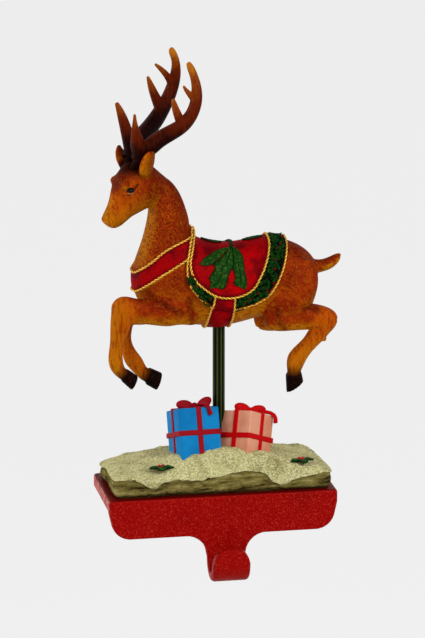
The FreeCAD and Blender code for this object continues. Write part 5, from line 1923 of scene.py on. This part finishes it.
@dataclass
class Present:
    """A wrapped box leaning in the snow, with crossed ribbons and a bow.

    Attributes:
        lid: the middle of its lid.
        yaw, lean, roll: turns about the upright, the sideways and the long axis, in degrees.
        loops: each bow loop's x, y, z on the lid and its heading.
        tail: points along the loose ribbon end.
        ribbon_proud: how far the ribbons stand out.
        band_drop: the level band's place down the height, as a share.
        bow_turn: the bow's turn on the lid, in degrees.
        crossing_step: how much wider each crossing ribbon lies.
        knot, loop_size, tail_thick: half sizes.
    """

    name: str
    wide: float
    deep: float
    high: float
    lid: tuple
    yaw: float
    lean: float
    roll: float
    loops: tuple
    tail: tuple
    wrap: Coating
    ribbon: Coating
    ribbon_wide: float = 3.0
    ribbon_proud: float = 0.6
    band_drop: float = 0.43
    bow_turn: float = 0.0
    box_radius: float = 0.9
    ribbon_radius: float = 0.55
    crossing_step: float = 0.3
    knot: tuple = (2.2, 2.2, 2.0)
    knot_level: float = 1.35
    loop_size: tuple = (5.0, 2.2, 2.9)
    tail_thick: float = 1.1

    def matrix(self) -> Points:
        """The turn about the upright, then the lean, then the roll.

        Returns:
            The three by three matrix.
        """
        turns = ((self.roll, "Y"), (self.lean, "X"), (self.yaw, "Z"))
        roll, lean, yaw = (Matrix.Rotation(math.radians(angle), 3, axis) for angle, axis in turns)
        return np.array(roll @ lean @ yaw)

    def placed(self, points: Points) -> Points:
        """Points of the upright present, turned and moved to where it leans."""
        return points @ self.matrix().T + np.array(self.lid)

    def build(self) -> None:
        """The wrapped box and its ribbons and bow."""
        box = Builder()
        points, faces = rounded_box(self.wide, self.deep, self.high, self.box_radius)
        points[:, 2] -= self.high / 2
        box.add(self.placed(points), faces)
        piece = box.piece(self.name + "_box")
        merge(piece, 1e-6)
        own(piece, self.wrap)
        proud, more = self.ribbon_proud * 2, self.crossing_step
        ribbon = Builder()
        for size, down in (
                ((self.ribbon_wide, self.deep + proud, self.high + proud), 0.5),
                ((self.wide + proud, self.ribbon_wide, self.high + proud + more), 0.5),
                ((self.wide + proud + more, self.deep + proud + more, self.ribbon_wide), self.band_drop)):
            points, faces = rounded_box(*size, self.ribbon_radius)
            ribbon.add(self.placed(points - [0, 0, self.high * down]), faces)
        for loop in self.loops:
            ribbon.add(*self.loop(*loop))
        end = self.loose_end()
        ribbon.grid(self.placed(self.on_lid(end.reshape(-1, 3))).reshape(end.shape), closed=True, capped=True)
        middle = ((self.loops[0][0] + self.loops[1][0]) / 2, self.loops[0][1], self.knot_level)
        knot, faces = ball(np.array(middle), np.array(self.knot), 18, 12)
        ribbon.add(self.placed(self.on_lid(knot)), faces)
        piece = ribbon.piece(self.name + "_ribbon")
        merge(piece, 1e-6)
        own(piece, self.ribbon)

    def loose_end(self) -> Points:
        """Rows of a ribbon along the tail's path: a flat oval section whose broad side lies level.

        Returns:
            The points, by row and by place in it.
        """
        path = resampled(np.array(self.tail), 0.4)
        ahead = unit(np.gradient(path, axis=0))
        side = unit(np.cross(ahead, np.array(self.tail[0]) * [0, 0, 1] + [0.2, 0.3, 1]))
        thin = np.cross(side, ahead)
        angles = np.linspace(0, 2 * math.pi, 14, endpoint=False)[None, :, None]
        share = np.linspace(0, 1, len(path))[:, None, None]
        wide = self.ribbon_wide * 0.5 * (0.8 + 0.3 * share)
        across = wide * np.cos(angles) * side[:, None]
        return path[:, None] + across + self.tail_thick * np.sin(angles) * thin[:, None]

    def loop(self, x: float, y: float, z: float, heading: float) -> tuple[Points, list]:
        """A puffed bow loop: an ellipsoid whose two faces are dished in the middle.

        Its thickness is 0.62 in the middle plus 0.38 times the distance from there.

        Args:
            x, y, z: its middle on the lid.
            heading: its turn about the depth axis, in degrees.

        Returns:
            Points and faces.
        """
        points, faces = ball(np.zeros(3), np.ones(3), 28, 18)
        dish = 0.62 + 0.38 * np.sqrt(points[:, 0] ** 2 + points[:, 2] ** 2)
        points = points * self.loop_size
        points[:, 1] *= dish
        cosine, sine = math.cos(math.radians(heading)), math.sin(math.radians(heading))
        spin = np.array([[cosine, 0, sine], [0, 1, 0], [-sine, 0, cosine]])
        return self.placed(self.on_lid(points @ spin.T + np.array([x, y, z]))), faces

    def on_lid(self, points: Points) -> Points:
        """Points of the bow turned about the lid's middle."""
        return spun(points, math.radians(self.bow_turn))


@dataclass
class Holly:
    """Sprigs of three leaves and their berries lying in the snow.

    Attributes:
        spots: each sprig's x and y, and its turn in degrees.
        spreads: the leaves' directions, in degrees.
        berries: where the berries lie from the middle.
    """

    base: SnowBase
    spots: tuple = ((-35.0, -19.5, 0.0), (46.0, -18.5, 10.0))
    leaf_long: float = 7.2
    leaf_thick: float = 0.6 * MM
    spreads: tuple = (-165, -90, -15)
    berries: tuple = ((-1.0, 0.2), (1.0, 0.2), (0.0, -1.2))
    berry_radius: float = 1.25

    def build(self) -> None:
        """Leaves with waved edges round a few berries, each sprig at the snow's height under it.

        A leaf's half width along its run from 0 to 1 is the sine of half a turn to the power 0.7,
        times 0.36 plus 0.08 of the cosine of four turns.
        """
        leaves, berries = Builder(), Builder()
        run = np.linspace(0, 1, 13)[:, None]
        cross = np.linspace(-1, 1, 7)[None, :]
        width = (np.sin(run * math.pi) ** 0.7) * (0.36 + 0.08 * np.cos(run * 8 * math.pi)) + 0.01
        for x, y, heading in self.spots:
            level = float(self.base.height(np.array([x]), np.array([y]))[0])
            for spread in self.spreads:
                turn = math.radians(spread + heading)
                along = np.array([math.cos(turn), math.sin(turn), 0])
                beside = np.array([-math.sin(turn), math.cos(turn), 0])
                sheet = self.leaf_long * (run[..., None] * along + (width * cross)[..., None] * beside)
                lift = 0.9 + 0.5 * (1 - np.abs(cross)) + 0.9 * np.sin(run * math.pi) * 0.8
                sheet = sheet + np.array([x + self.base.shift, y, level])
                sheet[..., 2] += lift
                leaves.grid(sheet, tone=np.broadcast_to(np.abs(cross) ** 3, lift.shape).ravel())
            for dx, dy in self.berries:
                centre = np.array([x + self.base.shift + dx, y + dy, level + 1.6])
                berries.add(*ball(centre, self.berry_radius, 14, 10))
        piece = leaves.piece("snow_holly", "tone")
        thicken(piece, self.leaf_thick)
        own(piece, Coating.LEAF)
        own(berries.piece("snow_berries"), Coating.BERRY)


@dataclass
class Studio:
    """A pale floor, a pale room and soft lamps.

    Attributes:
        floor_share, floor_plain: how much plain background the floor shows, and how bright it is.
        lamps: each lamp's name, place, power, width and height, in metres and watts.
    """

    floor_level: float = -0.6
    room: float = 0.4
    floor_share: float = 0.75
    floor_plain: float = 1.18
    floor_rough: float = 0.9
    middle: tuple = (0, 0, 0.11)
    lamps: tuple = (
        ("key", (0.6, -1.1, 0.9), 12.0, 0.6, 0.6),
        ("fill", (-0.8, -1.0, 0.4), 4.0, 0.5, 0.9),
        ("left_rim", (-1.0, 0.35, 0.25), 6.0, 0.2, 1.0))

    def lamp(self, name: str, place: tuple, power: float, wide: float, high: float) -> None:
        """A soft rectangular lamp that faces the middle of the object.

        Args:
            name: the lamp's name.
            place: where it is, in metres.
            power: its power in watts.
            wide, high: its size in metres.
        """
        data = bpy.data.lights.new(name, "AREA")
        data.shape = "RECTANGLE"
        data.size, data.size_y = wide, high
        data.energy = power
        lamp = linked(name, data)
        lamp.location = place
        lamp.rotation_mode = "QUATERNION"
        lamp.rotation_quaternion = (Vector(place) - Vector(self.middle)).to_track_quat("Z", "Y")

    def seen_or_lit(self, tree: Tree, lit: Socket, strength: float, share: float) -> Socket:
        """Mixes a plain background, for what the camera and reflections see, over a lit shader.

        Args:
            tree: the node tree.
            lit: the shader that lights the scene.
            strength, share: how bright the background is, and how much of it is mixed in.

        Returns:
            The mixed shader.
        """
        rays = tree.add("ShaderNodeLightPath").outputs
        seen = tree.math("MAXIMUM", rays["Is Camera Ray"], rays["Is Transmission Ray"])
        seen = tree.math("MULTIPLY", tree.math("MAXIMUM", seen, rays["Is Glossy Ray"]), share)
        plain = tree.add("ShaderNodeEmission")
        tree.feed(plain.inputs["Color"], Paint.BACKGROUND)
        tree.feed(plain.inputs["Strength"], strength)
        mix = tree.add("ShaderNodeMixShader")
        for index, source in enumerate((seen, lit, plain.outputs[0])):
            tree.join(source, mix.inputs[index])
        return mix.outputs[0]

    def build(self) -> None:
        """The floor, the world and the lamps."""
        scene = bpy.context.scene
        scene.view_settings.view_transform = "Standard"
        world = bpy.data.worlds.new("room")
        world.use_nodes = True
        tree = Tree(world.node_tree)
        background = tree.add("ShaderNodeBackground")
        tree.feed(background.inputs["Color"], (1, 1, 1, 1))
        tree.feed(background.inputs["Strength"], self.room)
        mixed = self.seen_or_lit(tree, background.outputs[0], 1.0, 1.0)
        tree.join(mixed, tree.add("ShaderNodeOutputWorld").inputs["Surface"])
        scene.world = world

        corners = np.array([(-6, -6, 0), (6, -6, 0), (6, 8, 0), (-6, 8, 0)], float) + [0, 0, self.floor_level]
        floor = mesh_piece("floor", corners, [(0, 1, 2, 3)], smooth=False)
        graph = Graph("pale_floor")
        graph.feed(graph.shader.inputs["Base Color"], Paint.BACKGROUND)
        graph.feed(graph.shader.inputs["Roughness"], self.floor_rough)
        mixed = self.seen_or_lit(graph, graph.shader.outputs[0], self.floor_plain, self.floor_share)
        graph.join(mixed, graph.output.inputs["Surface"])
        floor.data.materials.append(graph.material)
        for lamp in self.lamps:
            self.lamp(*lamp)


@dataclass
class Bracket:
    """The iron bracket under its enamel, with the pads, screws and pole that keep their CAD shapes.

    Attributes:
        nodes: the CAD nodes by name.
        voxel, rounds, most: the skin's spacing in metres, smoothing rounds and most triangles.
        plain: the CAD nodes that only get a finish.
    """

    nodes: dict
    voxel: float = 0.55 * MM
    rounds: int = 2
    most: int = 190000
    plain: tuple = (("mantel_pad", Coating.RUBBER), ("apron_pad", Coating.RUBBER),
                    ("base_screws", Coating.STEEL), ("pole", PoleFinish()))

    def tones(self, mesh: bpy.types.Mesh) -> tuple[Points, Points]:
        """Painted highlight and painted shade on the enamel: a painted highlight on the sides, a painted
        shadow on top next to the slab, and painted shade on the tongue.

        Each is a sum of smooth steps in the surface's direction and the point's height.

        Args:
            mesh: the bracket's skin.

        Returns:
            The painted highlight and the painted shade at each point.
        """
        normals, height = read_normals(mesh), read_points(mesh)[:, 2] / MM
        # Painted highlight on the side faces, strongest on the left
        side = 0.7 * smoothstep(-normals[:, 0], 0.4, 0.8) + 0.35 * smoothstep(normals[:, 0], 0.7, 0.95)
        # Painted shadow on the plate's top next to the slab
        top = smoothstep(normals[:, 2], 0.6, 0.95) * smoothstep(height, -4.0, 2.0)
        # Painted shade on the tongue, low in the hook
        tongue = smoothstep(-height, 44.0, 58.0)
        return side * smoothstep(height, -16.0, -4.0), np.clip(0.75 * top + 0.45 * tongue, 0, 1)

    def build(self) -> None:
        """The bracket's enamelled skin, and the finishes of the plain pieces."""
        skin = skin_of(self.nodes["mantel_bracket"], "bracket_skin", self.voxel, self.rounds, self.most)
        # edge carries the painted highlight, and shade carries the painted shadow and shade
        edge, shade = self.tones(skin.data)
        put_attribute(skin.data, "edge", edge)
        put_attribute(skin.data, "shade", shade)
        own(skin, EnamelFinish(), ["mantel_bracket"])
        for name, finish in self.plain:
            mesh = self.nodes[name].data
            mesh.materials.clear()
            mesh.materials.append(material_of(finish))
            log.info("%s: %d points, the CAD shape", name, len(mesh.vertices))


PRESENTS = (
    Present("blue", 24.0, 24.0, 33.0, (-12.19, 4.0, 50.6), 8, -19, -1,
            ((-5.4, -3, 2.2, 8), (6.4, -3, 2.7, -30)),
            ((1.5, -5.0, 1.6), (3.6, -9.0, 2.0), (5.2, -12.2, 0.9), (5.8, -13.0, -1.5), (6.6, -12.9, -4.6)),
            Coating.BLUE, Coating.DARK_RIBBON),
    Present("pink", 22.5, 20.5, 33.0, (20.19, 3.5, 46.4), 41, -21, 10,
            ((-4.2, -1, 2.3, 8), (5.4, -1, 2.3, -14)),
            ((6.0, -2.0, 1.4), (9.5, -3.4, 1.6), (12.6, -4.6, 1.0), (14.6, -5.4, -0.8), (15.0, -5.8, -4.2)),
            Coating.PINK, Coating.BRIGHT_RIBBON, bow_turn=-32.0),
)


def main(frame: dict) -> None:
    """Builds every piece in order.

    Args:
        frame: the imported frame, with its CAD nodes by name.
    """
    logging.basicConfig(level=logging.INFO, format="%(name)s: %(message)s")
    nodes = frame["nodes"]
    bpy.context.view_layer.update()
    CAMERA.place()
    Studio().build()
    Bracket(nodes).build()
    base = SnowBase()
    base.slab()
    for present in PRESENTS:
        present.build()
    Holly(base).build()
    reindeer = Reindeer(nodes["reindeer"])
    reindeer.skin()
    reindeer.ropes()
    reindeer.garland()
    reindeer.saddle_holly()
    reindeer.eyes()
    Antlers(nodes["near_antler"], nodes["far_antler"]).build()


if __name__ == "__main__":
    main(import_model())
